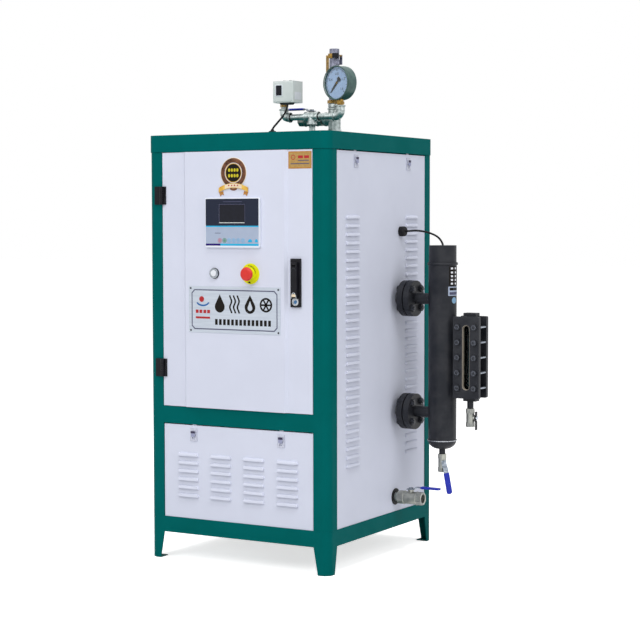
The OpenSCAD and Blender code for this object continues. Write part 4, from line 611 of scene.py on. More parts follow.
class BoilerSizes(bpy.types.PropertyGroup):
    """Sizes of the trim, in millimetres."""

    sheet_edge: size("Sheet edge", "Rounding of folded sheet edges", 1.1, 0.2, 2)
    louvre_rise: size("Louvre rise", "How far a louvre stands out of its panel", 6.6, 2, 8)
    louvre_margin: size("Louvre margin", "How far a louvre's pressed edge reaches past its slit", 1.0, 0, 3)
    panel_gap: size("Panel gap", "Extra gap above a lift-out panel", 1.4, 0, 3)
    emblem_radius: size("Emblem radius", "Outer radius of the round emblem", 44.5, 30, 50)
    lead_radius: size("Lead radius", "Radius of the two black leads", 3.0, 1.5, 3.2)
    dial_span: bpy.props.FloatProperty(
        name="Dial span", description="Angle between the dial's first and last mark",
        default=math.radians(270), subtype="ANGLE")


class BoilerStage(bpy.types.PropertyGroup):
    """Light and floor."""

    floor_colour: bpy.props.FloatVectorProperty(
        name="Floor", description="Colour of the studio floor", subtype="COLOR", size=3,
        default=linear("e6e6e6")[:3])
    key_power: power("Key lamp", "left of the door, the main one", 101.0)
    side_power: power("Side lamp", "beside the water column", 53.0)
    top_power: power("Top lamp", "over the top pipework", 55.0)
    high_power: power("High lamp", "high before the corner, which lifts the louvres' tops", 62.0)
    room_light: bpy.props.FloatProperty(
        name="Room light", description="Strength of the even light from all round", default=0.4, min=0, max=1)


# Stage

# The photograph's camera: its place and the point that the lamps face in cabinet millimetres, its turns in
# radians, and its focal length as pixels of a picture 640 wide
CAMERA_PLACE = (2681.5, -4482.2, 1009.6)
LAMP_TARGET = (60, 0, 720)
YAW, PITCH, ROLL = 0.5241, -0.0585, -0.0017
FOCAL_PIXELS, PICTURE_WIDTH, SENSOR_WIDTH = 1707.16, 640, 36
FLOOR_LIFT = 0.66


def show(tree, kind, lit, backdrop):
    """What gives light is lit; what the camera sees, straight or by way of metal or glass, is the backdrop."""
    rays = add(tree, "ShaderNodeLightPath").outputs
    seen = rays["Is Camera Ray"]
    for way in ("Is Glossy Ray", "Is Transmission Ray"):
        seen = add(tree, "ShaderNodeMath", None, {0: seen, 1: rays[way]}, operation="MAXIMUM").outputs[0]
    mix = add(tree, "ShaderNodeMixShader", None, {0: seen, 1: lit.outputs[0], 2: backdrop.outputs[0]})
    add(tree, kind, None, {"Surface": mix.outputs[0]})


class BOILER_OT_stage(bpy.types.Operator):
    """Pale floor, soft studio light and the camera at the photograph's angle"""

    bl_idname = "boiler.stage"
    bl_label = "Stage"

    def execute(self, context):
        light = context.scene.boiler_stage
        self.floor(light.floor_colour)
        self.room(context.scene, light.room_light)
        for name, place, width, energy in (
            ("key_lamp", (-0.9, -4.4, 3.7), 2.6, light.key_power),
            ("side_lamp", (3.8, -0.8, 3.2), 2.6, light.side_power),
            ("top_lamp", (-0.2, 0.2, 4.6), 2.0, light.top_power),
            ("high_lamp", (1.4, -1.9, 5.0), 1.2, light.high_power),
        ):
            self.lamp(name, place, width, energy)
        self.camera(context.scene)
        context.scene.view_settings.view_transform = "Standard"
        return {"FINISHED"}

    def floor(self, colour):
        clear()
        bpy.ops.mesh.primitive_plane_add(size=60, location=(0, 0, 0))
        floor = bpy.context.object
        floor.name = floor.data.name = "studio_floor"
        made = bpy.data.materials.new("pale_floor")
        tree = empty_tree(made)
        matt = add(tree, "ShaderNodeBsdfDiffuse", {"Color": [*colour, 1]})
        white = add(tree, "ShaderNodeBsdfDiffuse", {"Color": WHITE})
        lift = add(tree, "ShaderNodeEmission", {"Color": WHITE, "Strength": FLOOR_LIFT})
        bright = add(tree, "ShaderNodeAddShader", None, {0: white.outputs[0], 1: lift.outputs[0]})
        show(tree, "ShaderNodeOutputMaterial", matt, bright)
        floor.data.materials.append(made)

    def room(self, scene, strength):
        scene.world = bpy.data.worlds.new("studio_room")
        tree = empty_tree(scene.world)
        show(tree, "ShaderNodeOutputWorld",
             add(tree, "ShaderNodeBackground", {"Color": WHITE, "Strength": strength}),
             add(tree, "ShaderNodeBackground", {"Color": WHITE, "Strength": 1.0}))

    def lamp(self, name, place, width, energy):
        clear()
        bpy.ops.object.light_add(type="AREA", location=place)
        lamp = bpy.context.object
        lamp.name = lamp.data.name = name
        lamp.data.shape = "SQUARE"
        lamp.data.size = width
        lamp.data.energy = energy
        lamp.rotation_mode = "QUATERNION"
        lamp.rotation_quaternion = (FROM_MM @ Vector(LAMP_TARGET) - lamp.location).to_track_quat("-Z", "Y")

    def camera(self, scene):
        clear()
        bpy.ops.object.camera_add(location=FROM_MM @ Vector(CAMERA_PLACE))
        camera = bpy.context.object
        camera.name = camera.data.name = "photo_camera"
        ahead = Vector((-math.sin(YAW) * math.cos(PITCH), math.cos(YAW) * math.cos(PITCH), math.sin(PITCH)))
        rolled = Matrix.Rotation(ROLL, 3, "Z").to_quaternion()
        camera.rotation_mode = "QUATERNION"
        camera.rotation_quaternion = ahead.to_track_quat("-Z", "Y") @ rolled
        camera.data.sensor_width = SENSOR_WIDTH
        camera.data.lens = FOCAL_PIXELS * SENSOR_WIDTH / PICTURE_WIDTH
        camera.data.clip_start = 0.1
        camera.data.clip_end = 100
        scene.camera = camera


# Leads

# The routes that the CAD leads take, in cabinet millimetres
PROBE_LEAD = ((300, 113, 975), (312, 113, 975), (324, 113, 975), (335, 113, 976), (347, 112, 977),
              (361, 111, 977.4), (375, 110, 976.4), (389, 109, 974.5), (403, 107, 971.7), (416, 105, 968),
              (428, 104, 963.3), (438, 102, 958), (446, 101, 951), (452, 100, 943), (455, 100, 936),
              (455, 100, 928))
CONTROL_LEAD = ((2, -40, 1372), (2, -40, 1360), (1, -41, 1350), (-2, -43, 1339), (-7, -46, 1328),
                (-14, -50, 1317), (-22, -54, 1307), (-29, -57, 1298), (-35, -59, 1291), (-39, -60, 1284),
                (-40, -60, 1276), (-40, -60, 1262), (-40, -60, 1250))


class BOILER_OT_leads(bpy.types.Operator):
    """The two black sensor leads and the rubber bushes that they pass through"""

    bl_idname = "boiler.leads"
    bl_label = "Leads"

    def execute(self, context):
        radius = context.scene.boiler_sizes.lead_radius
        self.lead("probe_lead", PROBE_LEAD, radius, ("sensor_leads",))
        self.lead("control_lead", CONTROL_LEAD, radius, ())
        dressed("rubber_bushes", "black_rubber")
        x, y, _ = CONTROL_LEAD[-1]
        cone = [(0, radius), (0, 11), (2.4, 10.6), (3.4, 6), (8, radius + 1.2), (8.4, radius)]
        grip = turned(cone, "black_rubber", (x, y, CAP_TOP + 16), sides=32, ring=True)
        settle("lead_grip", [grip], "cabinet")
        return {"FINISHED"}

    def lead(self, name, points, radius, stands_for):
        """A black sheathed lead, held at both ends, on one smooth line."""
        shape = painted(tube(points, radius), "black_rubber")
        piece = settle(name, [shape], "cabinet", stands_for)


# Cabinet


def pressed_louvre(width, rise, margin):
    """One pressed louvre: half a ball stretched into a bar, open below, with a sheet's thickness."""
    end, height, low = 4.5, 8.6, -0.12
    run = width / 2 + margin - end
    clear()
    bpy.ops.mesh.primitive_uv_sphere_add(segments=20, ring_count=9, radius=1, rotation=(0, math.radians(90), 0))
    piece = fix()
    edit()
    bpy.ops.mesh.bisect(plane_co=(0, 0, low), plane_no=(0, 0, -1), clear_outer=True)
    bpy.ops.mesh.select_all(action="SELECT")
    bpy.ops.mesh.bisect(plane_co=(0, 0.02, 0), plane_no=BACK, clear_outer=True)
    bpy.ops.mesh.select_all(action="SELECT")
    bpy.ops.transform.resize(value=(end, rise, height), center_override=(0, 0, 0))
    for side in (-1, 1):
        pick(piece, lambda p, n, side=side: p.x * side > 0, "VERT")
        bpy.ops.transform.translate(value=(side * run, 0, 0))
    bpy.ops.mesh.select_all(action="SELECT")
    bpy.ops.transform.translate(value=(0, 0, -low * height))
    close(facing=True)
    modified(take(piece), "SOLIDIFY", thickness=0.9, offset=-1)
    return painted(eased(piece, 0), "white_powder_coat")


def folded_tray(low, high, outward, wall, edge):
    """Sheet folded back along its four sides: a block with its back taken off, given the sheet's thickness."""
    piece = cube(low, high)
    edit()
    pick(piece, lambda p, n: n.dot(Vector(outward)) < -0.9)
    bpy.ops.mesh.delete(type="FACE")
    close()
    modified(piece, "SOLIDIFY", thickness=wall, offset=-1)
    return eased(piece, edge, 3, 60)


def cut_out(piece, cutters):
    """Takes the cutters' shapes out of a piece."""
    cutter = joined("cutter", cutters)
    modified(take(piece), "BOOLEAN", operation="DIFFERENCE", solver="EXACT", object=cutter)
    bpy.data.objects.remove(cutter)
    eased(piece, 0)


class BOILER_OT_cabinet(bpy.types.Operator):
    """Green frame, feet, top cap and the white sheet panels with their pressed louvres"""

    bl_idname = "boiler.cabinet"
    bl_label = "Cabinet"

    def execute(self, context):
        sizes = context.scene.boiler_sizes
        for node, width in (("base_frame", 1.4), ("post_frame", 1.2), ("top_cap", 2.2)):
            dressed(node, "green_powder_coat", width, 3)
        dressed("back_panel", "white_powder_coat", sizes.sheet_edge)
        side_rows = (76, (-186, 186), 170, 24.7, 30)
        self.panel(sizes, "lower_front_panel", FORWARD, 0, 70, (-171, -57, 57, 171), 64, 24.3, 6)
        self.panel(sizes, "right_panel", RIGHT, 90, *side_rows)
        self.panel(sizes, "left_panel", LEFT, -90, *side_rows)
        dressed("catch_housings", "catch_zinc", 0.5)
        for node, turn in (("front_catch_left", 0), ("front_catch_right", 0), ("side_catch_front", 90),
                           ("side_catch_rear", 90)):
            self.catch(node, turn)
        return {"FINISHED"}

    def panel(self, sizes, node, outward, turn, width, across, first, pitch, rows):
        """A folded panel with its columns of louvres, each over a slit of the given width."""
        low, high = cad(node)
        out = Vector(outward)
        skin = Vector([HOOD_RISE if o else 0 for o in outward])
        low, high = low + skin * (out.x < 0 or out.y < 0), high - skin * (out.x > 0)
        high.z -= sizes.panel_gap
        panel = folded_tray(low, high, outward, SHEET, sizes.sheet_edge)
        face = high.x if out.x > 0 else low.x if out.x < 0 else low.y
        on_face = turn_about("Z", turn) @ shift(0, -abs(face), low.z)
        places = [on_face @ shift(x, 0, first + pitch * i) for x in across for i in range(rows)]
        slit = block((4 - width / 2, -3, 0.4), (width / 2 - 4, 3, 8.5), width=0)
        cut_out(panel, repeated(slit, places))
        rise = HOOD_RISE if out.x < 0 else sizes.louvre_rise
        louvres = repeated(pressed_louvre(width, rise, sizes.louvre_margin), places)
        settle(node + "_louvres", louvres, "cabinet")
        if out.x > 0:
            pipe, lead = 20.5, 11
            holes = [(COLUMN.y, z, pipe) for z in FLANGE_HEIGHTS]
            holes += [(PROBE_LEAD[0][1], PROBE_LEAD[0][2], lead), (BLOWDOWN[1], BLOWDOWN[2], pipe)]
            cut_out(panel, [turned([(-40, r), (20, r)], None, (face, y, z), RIGHT) for y, z, r in holes])
        settle(node + "_sheet", [painted(panel, "white_powder_coat")], "cabinet", (node,))

    def catch(self, node, turn):
        """A panel catch's slider, with a dark film over the window above its thumb face: painted shade where
        the open window is dark.
        """
        dressed(node, "catch_zinc", 0.6)
        low, high = cad(node)
        mid = (low + high) / 2
        place = shift(high.x, mid.y, low.z) if turn else shift(mid.x, low.y, low.z)
        face = place @ turn_about("Z", turn) @ turn_about("X", 90)
        # the upper dark film is painted shade: the window is not cut, and its dark inside is drawn as a film
        marks = [cut_plate([rounded_outline(w, h, 0.8)], 0.3, face @ shift(0, up), look)
                 for w, h, up, look in ((15.4, 6.6, 27, "catch_window_shade_film"), (14, 10, 18.4, "lilac_film"))]
        settle(node + "_face", marks, frame["nodes"][node]["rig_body"])


# Door


class BOILER_OT_door(bpy.types.Operator):
    """White door with its hinges, lock, nameplate, round emblem and small label"""

    bl_idname = "boiler.door"
    bl_label = "Door"

    def execute(self, context):
        sizes = context.scene.boiler_sizes
        dressed("door", "white_powder_coat", sizes.sheet_edge, 3, angle=25)
        for node in ("post_hinge_leaves", "door_hinge_leaves"):
            dressed(node, "black_enamel", 0.7)
        self.lock()
        self.nameplate()
        self.emblem(sizes.emblem_radius)
        self.label()
        return {"FINISHED"}

    def lock(self):
        """Swing handle on its plate, with a key barrel below it."""
        for node, look, width, segments in (
            ("lock_plate", "black_enamel", 1.6, 3), ("lock_spindle", "black_enamel", 0.5, 2),
            ("lock_handle", "black_enamel", 1.8, 3), ("lock_barrel", "chrome_plate", 0.5, 2),
        ):
            dressed(node, look, width, segments)
        x, z = middle("lock_barrel").x, middle("lock_barrel").z
        front = cad("lock_plate")[0].y
        rim = turned([(0, 11), (1.4, 10.4), (1.4, 8.6), (0.2, 8.4)], "chrome_plate", (x, front, z), FORWARD,
                     ring=True)
        settle("barrel_rim", [rim], "door")
        key_face = turned([(0, 5.6), (0.3, 5.4)], "steel_blue_film", (x, cad("lock_barrel")[0].y, z), FORWARD)
        settle("key_face", [key_face], "lock_barrel")

        low, high = cad("lock_handle")
        handle_x = (low.x + high.x) / 2
        surround = cut_plate([arc_band(9.2, 17, 180, 360, 1.8)], 0.8, flat(x, front, low.z - 0.5),
                             "chrome_plate", 0.2)
        settle("surround", [surround], "door")
        end_cap = [cut_plate([arc_band(9.2, 17, 0, 180, 1.8)], 0.4, flat(handle_x, low.y, low.z + 0.5),
                             "chrome_plate", 0.1),
                   cut_plate([rounded_outline(13, 8, 2)], 0.4, flat(handle_x, low.y, low.z + 9),
                             "cream_print", 0.1)]
        settle("handle_end", end_cap, "lock_handle")
        # a lighter grey arch on the black handle's top: a painted highlight standing in for the light on its
        # rounded edge
        highlight_arch = cut_plate([arc_band(7.5, 7.5, 0, 180, 1.4)], 0.5, flat(handle_x, low.y, high.z - 24),
                         "dark_abs", 0.15)
        settle("handle_highlight_arch", [highlight_arch], "lock_handle")

    def nameplate(self):
        """Satin plate: a printed line, four rivets, a plain mark, and a drop, steam, a flame and a wheel."""
        dressed("nameplate", "anodised_silver", 0.3)
        low, high = cad("nameplate")
        mid = (low + high) / 2
        w, h = high.x - low.x, high.z - low.z
        ink = 0.25
        place = flat(mid.x, low.y, mid.z)
        mark = place @ shift(-108, 24)
        wheel = place @ shift(109, 17)
        squares = [square(x, -30, 5) for x in (-20, -7, 7, 20)]
        bars = [[(x - 4.5, -44), (x + 4.5, -44), (x + 4.5, -27), (x - 4.5, -27)] for x in range(-61, 133, 14)]
        spoke = [(2.5, -16), (2.5, 16), (-2.5, 16), (-2.5, -16)]
        parts = [cut_plate([cut_corner_outline(w - 26, h - 26, 9)], 0.12, place, "anodised_silver")]
        for outlines, at, look in (
            ([cut_corner_outline(w - 19, h - 19, 10), cut_corner_outline(w - 25, h - 25, 8.6)], place,
             "slate_ink"),
            ([arc_band(24, 15, 200, 345, 5)], mark, "blue_ink"),
            ([ring_outline(8.5, 32)], mark @ shift(-4, 6), "red_ink"),
            (squares, mark, "red_ink"),
            ([rounded_outline(50, 6, 1)], mark @ shift(0, -48), "red_ink"),
            ([drop_outline(17, 28)], place @ shift(-49, 17), "black_print"),
            (steam_outlines(52), place @ shift(2, 17), "black_print"),
            ([drop_outline(18, 28), drop_outline(8, 11, -10)], place @ shift(55, 17), "black_print"),
            ([ring_outline(21), ring_outline(15.5)], wheel, "black_print"),
            ([spoke], wheel @ turn_about("Z", 30), "black_print"),
            ([spoke], wheel @ turn_about("Z", 90), "black_print"),
            ([spoke], wheel @ turn_about("Z", 150), "black_print"),
            (bars, place, "black_print"),
        ):
            parts.append(cut_plate(outlines, ink, at, look))
        settle("nameplate_print", parts, "door")
        in_x, in_z = w / 2 - 6.5, h / 2 - 6.5
        rivets = [turned([(0, 3.0), (0.7, 2.8), (1.3, 1.9), (1.5, 0.4)], "black_oxide",
                         (mid.x + sx * in_x, low.y, mid.z + sz * in_z), FORWARD, sides=16)
                  for sx in (-1, 1) for sz in (-1, 1)]
        settle("nameplate_rivets", rivets, "door")

    def emblem(self, r):
        """Round pressed emblem with a plain rosette, over a folded gold ribbon."""
        face = (-1.5, RAISED, 1145.5)
        place = flat(*face)
        parts = []
        for look, ring, steps in (
            ("white_print", False, [(0, r), (0.8, r), (1.0, r - 0.4)]),
            ("bronze_foil", True, [(0.9, r - 1.5), (1.7, r - 2.4), (2.3, r - 8), (1.8, r - 15), (0.2, r - 15)]),
            ("cream_print", True, [(0.9, r - 0.3), (1.5, r - 0.6), (1.5, r - 1.8), (0.9, r - 2.1)]),
            ("white_print", True, [(0.2, r - 15), (2.2, r - 15.4), (2.2, r - 16.4), (0.2, r - 16.8)]),
            ("gold_foil", True, [(0.2, r - 16.8), (2.0, r - 17), (2.0, r - 18.6), (0.2, r - 19)]),
            ("black_print", False, [(1.0, r - 18.6), (1.9, r - 18.9), (2.1, 0.5)]),
        ):
            parts.append(turned(steps, look, face, FORWARD, sides=72, ring=ring))
        leaf = bow(3.7, 5.2, 0, 324, 9)
        parts += [cut_plate([leaf], 0.35, place @ shift((k - 1.5) * 9.4, up, 2.0), "yellow_foil")
                  for up in (8, -8) for k in range(4)]
        settle("emblem", parts, "door")

        fold = ((50, -13), (36, -10), (33, -22), (39.5, -19), (45, -25))
        tails = [[(side * x, z) for x, z in fold] for side in (-1, 1)]
        dots = [square(x, 6.5, 2) for x in (-15, -5, 5, 15)]
        down = -42.5
        parts = [cut_plate(outlines, thick, place @ shift(0, z, lift), look, width)
                 for outlines, thick, z, lift, look, width in (
                     (tails, 0.5, down, 0.6, "dark_gold_foil", 0),
                     ([ribbon_outline(50, 0, 13.5)], 0.8, down, 2.2, "gold_foil", 0.2),
                     ([ribbon_outline(29, 1.2, 11)], 0.25, down, 2.95, "cream_print", 0),
                     (dots, 0.2, down, 3.15, "red_ink", 0),
                     ([ring_outline(12, 32, 0.5)], 0.5, -45, 0.6, "bronze_foil", 0))]
        settle("emblem_ribbon", parts, "door")

    def label(self):
        """Small stamped foil label near the door's upper corner, with plain ruled lines."""
        place = flat(216.5, FRONT, 1179)
        parts = [
            cut_plate([rounded_outline(76, 48.5, 1.2)], 0.5, place, "dark_gold_foil"),
            cut_plate([rounded_outline(69.5, 42, 0.8)], 0.2, place @ shift(0, 0, 0.45), "olive_print"),
            cut_plate([ring_outline(7.2, 28), ring_outline(5.2, 28)], 0.2, place @ shift(-22, 7.5, 0.55),
                      "red_ink"),
        ]
        for x, z, wide, tall, look in ((2, 8.5, 16, 8, "red_ink"), (22, 8.5, 16, 8, "red_ink"),
                                       (12, -1.5, 36, 2.4, "slate_ink"), (0, -10.5, 62, 2.6, "slate_ink")):
            parts.append(cut_plate([rounded_outline(wide, tall, 0.8, 2)], 0.2, place @ shift(x, z, 0.55), look))
        settle("gold_label", parts, "door")


# Controls


class BOILER_OT_controls(bpy.types.Operator):
    """Controller with its screen and film keys, the lamp button and the emergency stop"""

    bl_idname = "boiler.controls"
    bl_label = "Controls"

    def execute(self, context):
        self.controller()
        self.lamp_button()
        self.emergency_stop()
        return {"FINISHED"}

    def controller(self):
        """White case under a printed film: screen, heading, key field and a row of six keys, and a grey strip
        along the screen's lower edge as a painted highlight.
        """
        dressed("controller_unit", "white_abs", 1.6, 3)
        low, high = cad("controller_unit")
        left, top, y = low.x, high.z, low.y
        mid_x, screen_z = (low.x + high.x) / 2, 1028.5
        edge, end = left + 2.4, left + 183.6

        def field(x_from, x_to, z_from, z_to, look, radius, lift=0.0, thick=0.25, hole=()):
            cx, cz = (x_from + x_to) / 2, (z_from + z_to) / 2
            outlines = [rounded_outline(x_to - x_from, z_to - z_from, radius)]
            if hole:
                opening = rounded_outline(*hole, 1.0)
                outlines.append([(x + mid_x - cx, z + screen_z - cz) for x, z in opening])
            return cut_plate(outlines, thick, flat(cx, y - lift, cz), look)

        parts = [
            field(edge, end, top - 81, top - 3.4, "navy_film", 2.0, hole=(89.3, 54.7)),
            field(edge, end, top - 84.5, top - 81, "cyan_film", 0.4),
            field(edge, end, top - 132.6, top - 84.5, "pale_film", 0.4),
            field(edge, left + 53, top - 138.5, top - 132.6, "violet_film", 0.6),
            field(left + 53, end, top - 138.5, top - 132.6, "cyan_film", 0.6),
            cut_plate([rounded_outline(89.1, 54.5, 1.0), rounded_outline(86.5, 51.5, 1.5)], 1.35,
                      flat(mid_x, y + 1.5, screen_z), "slate_ink", 0.3),
            block((mid_x - 43.8, y + 0.7, screen_z - 26.5), (mid_x + 43.8, y + 1.5, screen_z + 26.5),
                  "screen_glass", 0.3),
            # a grey strip along the screen's lower edge: a painted highlight standing for the light reflected
            # on that edge
            field(mid_x - 43, mid_x + 43, 1001.2, 1003.2, "grey_abs", 0.5, 0.25, 0.6),
            field(mid_x - 30, mid_x + 34, top - 12.5, top - 11, "slate_ink", 0.5, 0.25, 0.1),
            field(left + 34, left + 54, top - 103, top - 101.4, "slate_ink", 0.5, 0.25, 0.1),
        ]
        key_ring = [(0.2, 7.2), (0.6, 7.0), (0.85, 6.6), (0.85, 5.6), (0.55, 5.3), (0.2, 5.2)]
        for i, look in enumerate(("rose_film", "sea_film", "sky_film", "sky_film", "sky_film", "sky_film")):
            at = (left + 51.5 + 15.85 * i, y, 951)
            parts.append(turned(key_ring, look, at, FORWARD, sides=28, ring=True))
            parts.append(turned([(0.2, 4.4), (0.5, 4.0), (0.6, 2.0)], look, at, FORWARD, sides=24))
        for x, wide in ((left + 155, 7.2), (left + 176, 5.0)):
            parts.append(cut_plate([bow(wide, 8.5, 0, 180, 12)], 0.7, flat(x, y - 0.2, 946.5), "cyan_film"))
        settle("controller_film", parts, "door")

    def lamp_button(self):
        """Domed white button in a turned bezel, over a black rubber gasket which also stands in as painted
        shade for the bezel's dark side.
        """
        dressed("lamp_bezel", "turned_stainless", 1.2, 3)
        low, high = cad("lamp_button")
        x, z = (low.x + high.x) / 2, (low.z + high.z) / 2
        r, depth = (high.x - low.x) / 2, high.y - low.y
        cap = turned([(0, r), (depth - 1.6, r), (depth - 0.6, r - 0.7), (depth - 0.1, r - 2.6), (depth, 0.5)],
                     "lamp_lens", (x, high.y, z), FORWARD, sides=48)
        settle("lamp_button_cap", [cap], "lamp_button", ("lamp_button",))
        # the black gasket ring is also painted shade: it gives the dark edge that the bezel's shaded side shows
        gasket = turned([(0, 15.9), (1.4, 15.9), (1.4, 11), (0, 11)], "black_rubber", (x, RAISED, z), FORWARD,
                        sides=48, ring=True)
        settle("button_gasket_and_shade_rings", [gasket], "door")

    def emergency_stop(self):
        """Red head over a yellow collar with a row of short marks and an arrow."""
        dressed("stop_collar", "yellow_abs", 0.7)
        stop, collar_y = middle("stop_collar"), cad("stop_collar")[0].y
        marks = []
        for i in range(10):
            a = math.radians(8 + 9 * i)
            c, s = math.cos(a), math.sin(a)
            marks.append([(24 * c + dx * c - dz * s, 24 * s + dx * s + dz * c)
                          for dx, dz in ((-2, -0.9), (2, -0.9), (2, 0.9), (-2, 0.9))])
        arrow = [(4, -21), (9, -27), (2, -26.5), (-3, -23.5)]
        print_plate = cut_plate([*marks, arrow], 0.2, flat(stop.x, collar_y, stop.z), "black_print")
        settle("stop_marks", [print_plate], "door")
        dressed("stop_plunger", "black_nylon", 0.3)
        dressed("stop_head", "red_abs", 2.2, 4, angle=20)


# Water column


def wrapped(x, y, radius, turn_from, turn_to, z_from, z_to, look, thickness=0.3):
    """A label round a pipe: its narrow end face is spun round the middle, between two angles in degrees."""
    clear()
    bpy.ops.mesh.primitive_plane_add(size=1, rotation=(math.radians(90), 0, 0))
    piece = bpy.context.object
    piece.scale = (thickness, z_to - z_from, 1)
    piece.location = (radius + thickness / 2, 0, (z_from + z_to) / 2)
    fix()
    edit()
    bpy.ops.mesh.spin(steps=max(3, round((turn_to - turn_from) / 8)), angle=math.radians(turn_from - turn_to),
                      center=(0, 0, 0), axis=UP)
    close(facing=True)
    piece.matrix_world = shift(x, y) @ turn_about("Z", turn_from)
    fix()
    return painted(eased(piece, 0), look)


def weld(x, y, z, r):
    """A round weld seam with the ripples of its beads."""
    beads = 96
    clear()
    bpy.ops.mesh.primitive_torus_add(major_radius=r, minor_radius=1.7, major_segments=beads, minor_segments=8,
                                     location=(x, y, z))
    piece = bpy.context.object
    edit()
    pick(piece, lambda p, n: (math.atan2(p.y, p.x) * beads / (2 * math.pi)) % 4 < 1.5, "VERT")
    bpy.ops.transform.resize(value=(1.006, 1.006, 1.0), center_override=(x, y, z))
    close()
    fix()
    bpy.ops.object.shade_smooth()
    return painted(piece, "welded_steel")


class BOILER_OT_column(bpy.types.Operator):
    """Water column with its flanges, bolts, cover and sight glass"""

    bl_idname = "boiler.column"
    bl_label = "Water column"

    def execute(self, context):
        for node, look, width, segments in (
            ("water_column", "slate_enamel", 1.0, 2), ("column_cover", "slate_enamel", 3.2, 4),
            ("level_probes", "turned_stainless", 0.3, 2), ("flange_bolts", "black_oxide", 0.7, 2),
            ("sight_chamber", "slate_enamel", 1.4, 3), ("sight_plates", "slate_enamel", 1.4, 3),
            ("sight_studs", "black_oxide", 0.6, 2),
        ):
            dressed(node, look, width, segments)
        self.sight_trim()
        glaze("sight_glass", "borosilicate_glass", "a9bfc2", 0.05)
        self.rings(COLUMN.x, COLUMN.y)
        self.labels(COLUMN.x, COLUMN.y)
        return {"FINISHED"}

    def rings(self, x, y):
        """Weld and domed head at the column's foot, the shoulder under its cover, and the flanges' gaskets."""
        shoulder = [(0, 41.8), (0.6, 44.2), (2.2, 45.4), (5.8, 45.4), (7.4, 44.2), (8, 41.8)]
        drain_r, head_h, head_r = 9.5, 26.5, 33.1
        turns = [math.radians(9 * i) for i in range(1, 11)]
        head = [(head_h * (1 - math.cos(a)), drain_r + head_r * math.sin(a)) for a in turns]
        parts = [weld(x, y, 352, 42.6),
                 turned(shoulder, "slate_enamel", (x, y, 875), sides=64, ring=True),
                 turned([(0, drain_r), *head], "slate_enamel", (x, y, 325.5), sides=64)]
        settle("column_rings", parts, "cabinet")
        gaskets = [turned([(0, 33.5), (1.4, 33.5), (1.4, 14), (0, 14)], "black_rubber", (345.3, y, z), RIGHT,
                          ring=True) for z in FLANGE_HEIGHTS]
        settle("flange_gaskets", gaskets, "cabinet")

    def sight_trim(self):
        """Lined slot with its lining painted lighter as if lit, tie rods between the clamp plates, lighter
        rings on the nuts as painted highlights, and a white scale behind.
        """
        behind = cad("sight_plates")[0].y + 13
        highlight_ring_y = cad("sight_studs")[0].y + 2.1
        # the lining is painted lighter than its own brownish-grey, as painted light, since the slot's walls lie
        # in shade
        parts = [cut_plate([rounded_outline(24.2, 192, 12), rounded_outline(22.6, 190.4, 11.3)], 12.8,
                           flat(SIGHT.x, behind, SIGHT.z), "slot_brown_painted_light")]
        for level in range(-2, 3):
            z = SIGHT.z + 45 * level
            for side in (-1, 1):
                tie_at, highlight_ring_at = (SIGHT.x + side * 38.3, behind, z), (SIGHT.x + side * 27, highlight_ring_y, z)
                parts.append(turned([(0, 3), (40, 3)], "bright_zinc", tie_at, BACK, 16))
                # the lighter ring on each dark nut is a painted highlight where its face catches the light
                parts.append(turned([(0, 7.2), (0.5, 6.8), (0.5, 4.8), (0, 4.6)], "phosphated_steel", highlight_ring_at,
                                    FORWARD, 24, ring=True))
        settle("sight_trim", parts, "cabinet")
        scale = block((SIGHT.x - 11, SIGHT.y + 7.0, SIGHT.z - 92), (SIGHT.x + 11, SIGHT.y + 8.4, SIGHT.z + 92),
                      "white_print", 0.5)
        settle("sight_scale", [scale], "cabinet")

    def labels(self, x, y):
        """Plain wrapped labels: a black one with pale squares, a pale one with dark bars, and a pale dot."""
        r, print_r, ink = 42.05, 42.35, 0.15
        parts = [wrapped(x, y, r, -37, 60, 815, 872, "black_print"),
                 wrapped(x, y, r, -41, 60, 785, 812, "pale_film")]
        for turn in (-29, -6, 20):
            parts += [wrapped(x, y, print_r, turn, turn + 11, z - 2.8, z + 2.8, "white_print", ink)
                      for z in (821, 832, 843, 854, 866)]
            parts += [wrapped(x, y, print_r, turn - 6, turn + 16, z - 4, z + 4, look, ink)
                      for z, look in ((792, "slate_ink"), (805, "black_print"))]
        facing = math.radians(-10)
        out = Vector((math.cos(facing), math.sin(facing), 0))
        dot_at = Vector((x, y, 771)) + out * r
        parts.append(turned([(-1.6, 9.5), (0.5, 9.3), (0.6, 8)], "sky_film", dot_at, out, 32))
        settle("column_labels", parts, "cabinet")


# Valves


def sleeve(start, end, width, thick, z, place):
    """Dipped vinyl over a lever's outer part, in the lever's own frame: x along it, z away from the valve."""
    piece = take(block((start, -width / 2, z - thick / 2), (end, width / 2, z + thick / 2), width=0))
    edit()
    pick(piece, lambda p, d: p.x > end - 1 and abs(d.z) > 1, "EDGE")
    bpy.ops.mesh.bevel(offset=width * 0.42, segments=6)
    close()
    eased(piece, thick * 0.42, 4)
    piece.data.transform(place)
    return painted(piece, "blue_vinyl")


def lever_height(neck, length):
    """How far a lever's middle is from its valve's axis: neck, gap, the lever's rise and half its plate."""
    return neck + 0.3 + length / 14 + 1.25


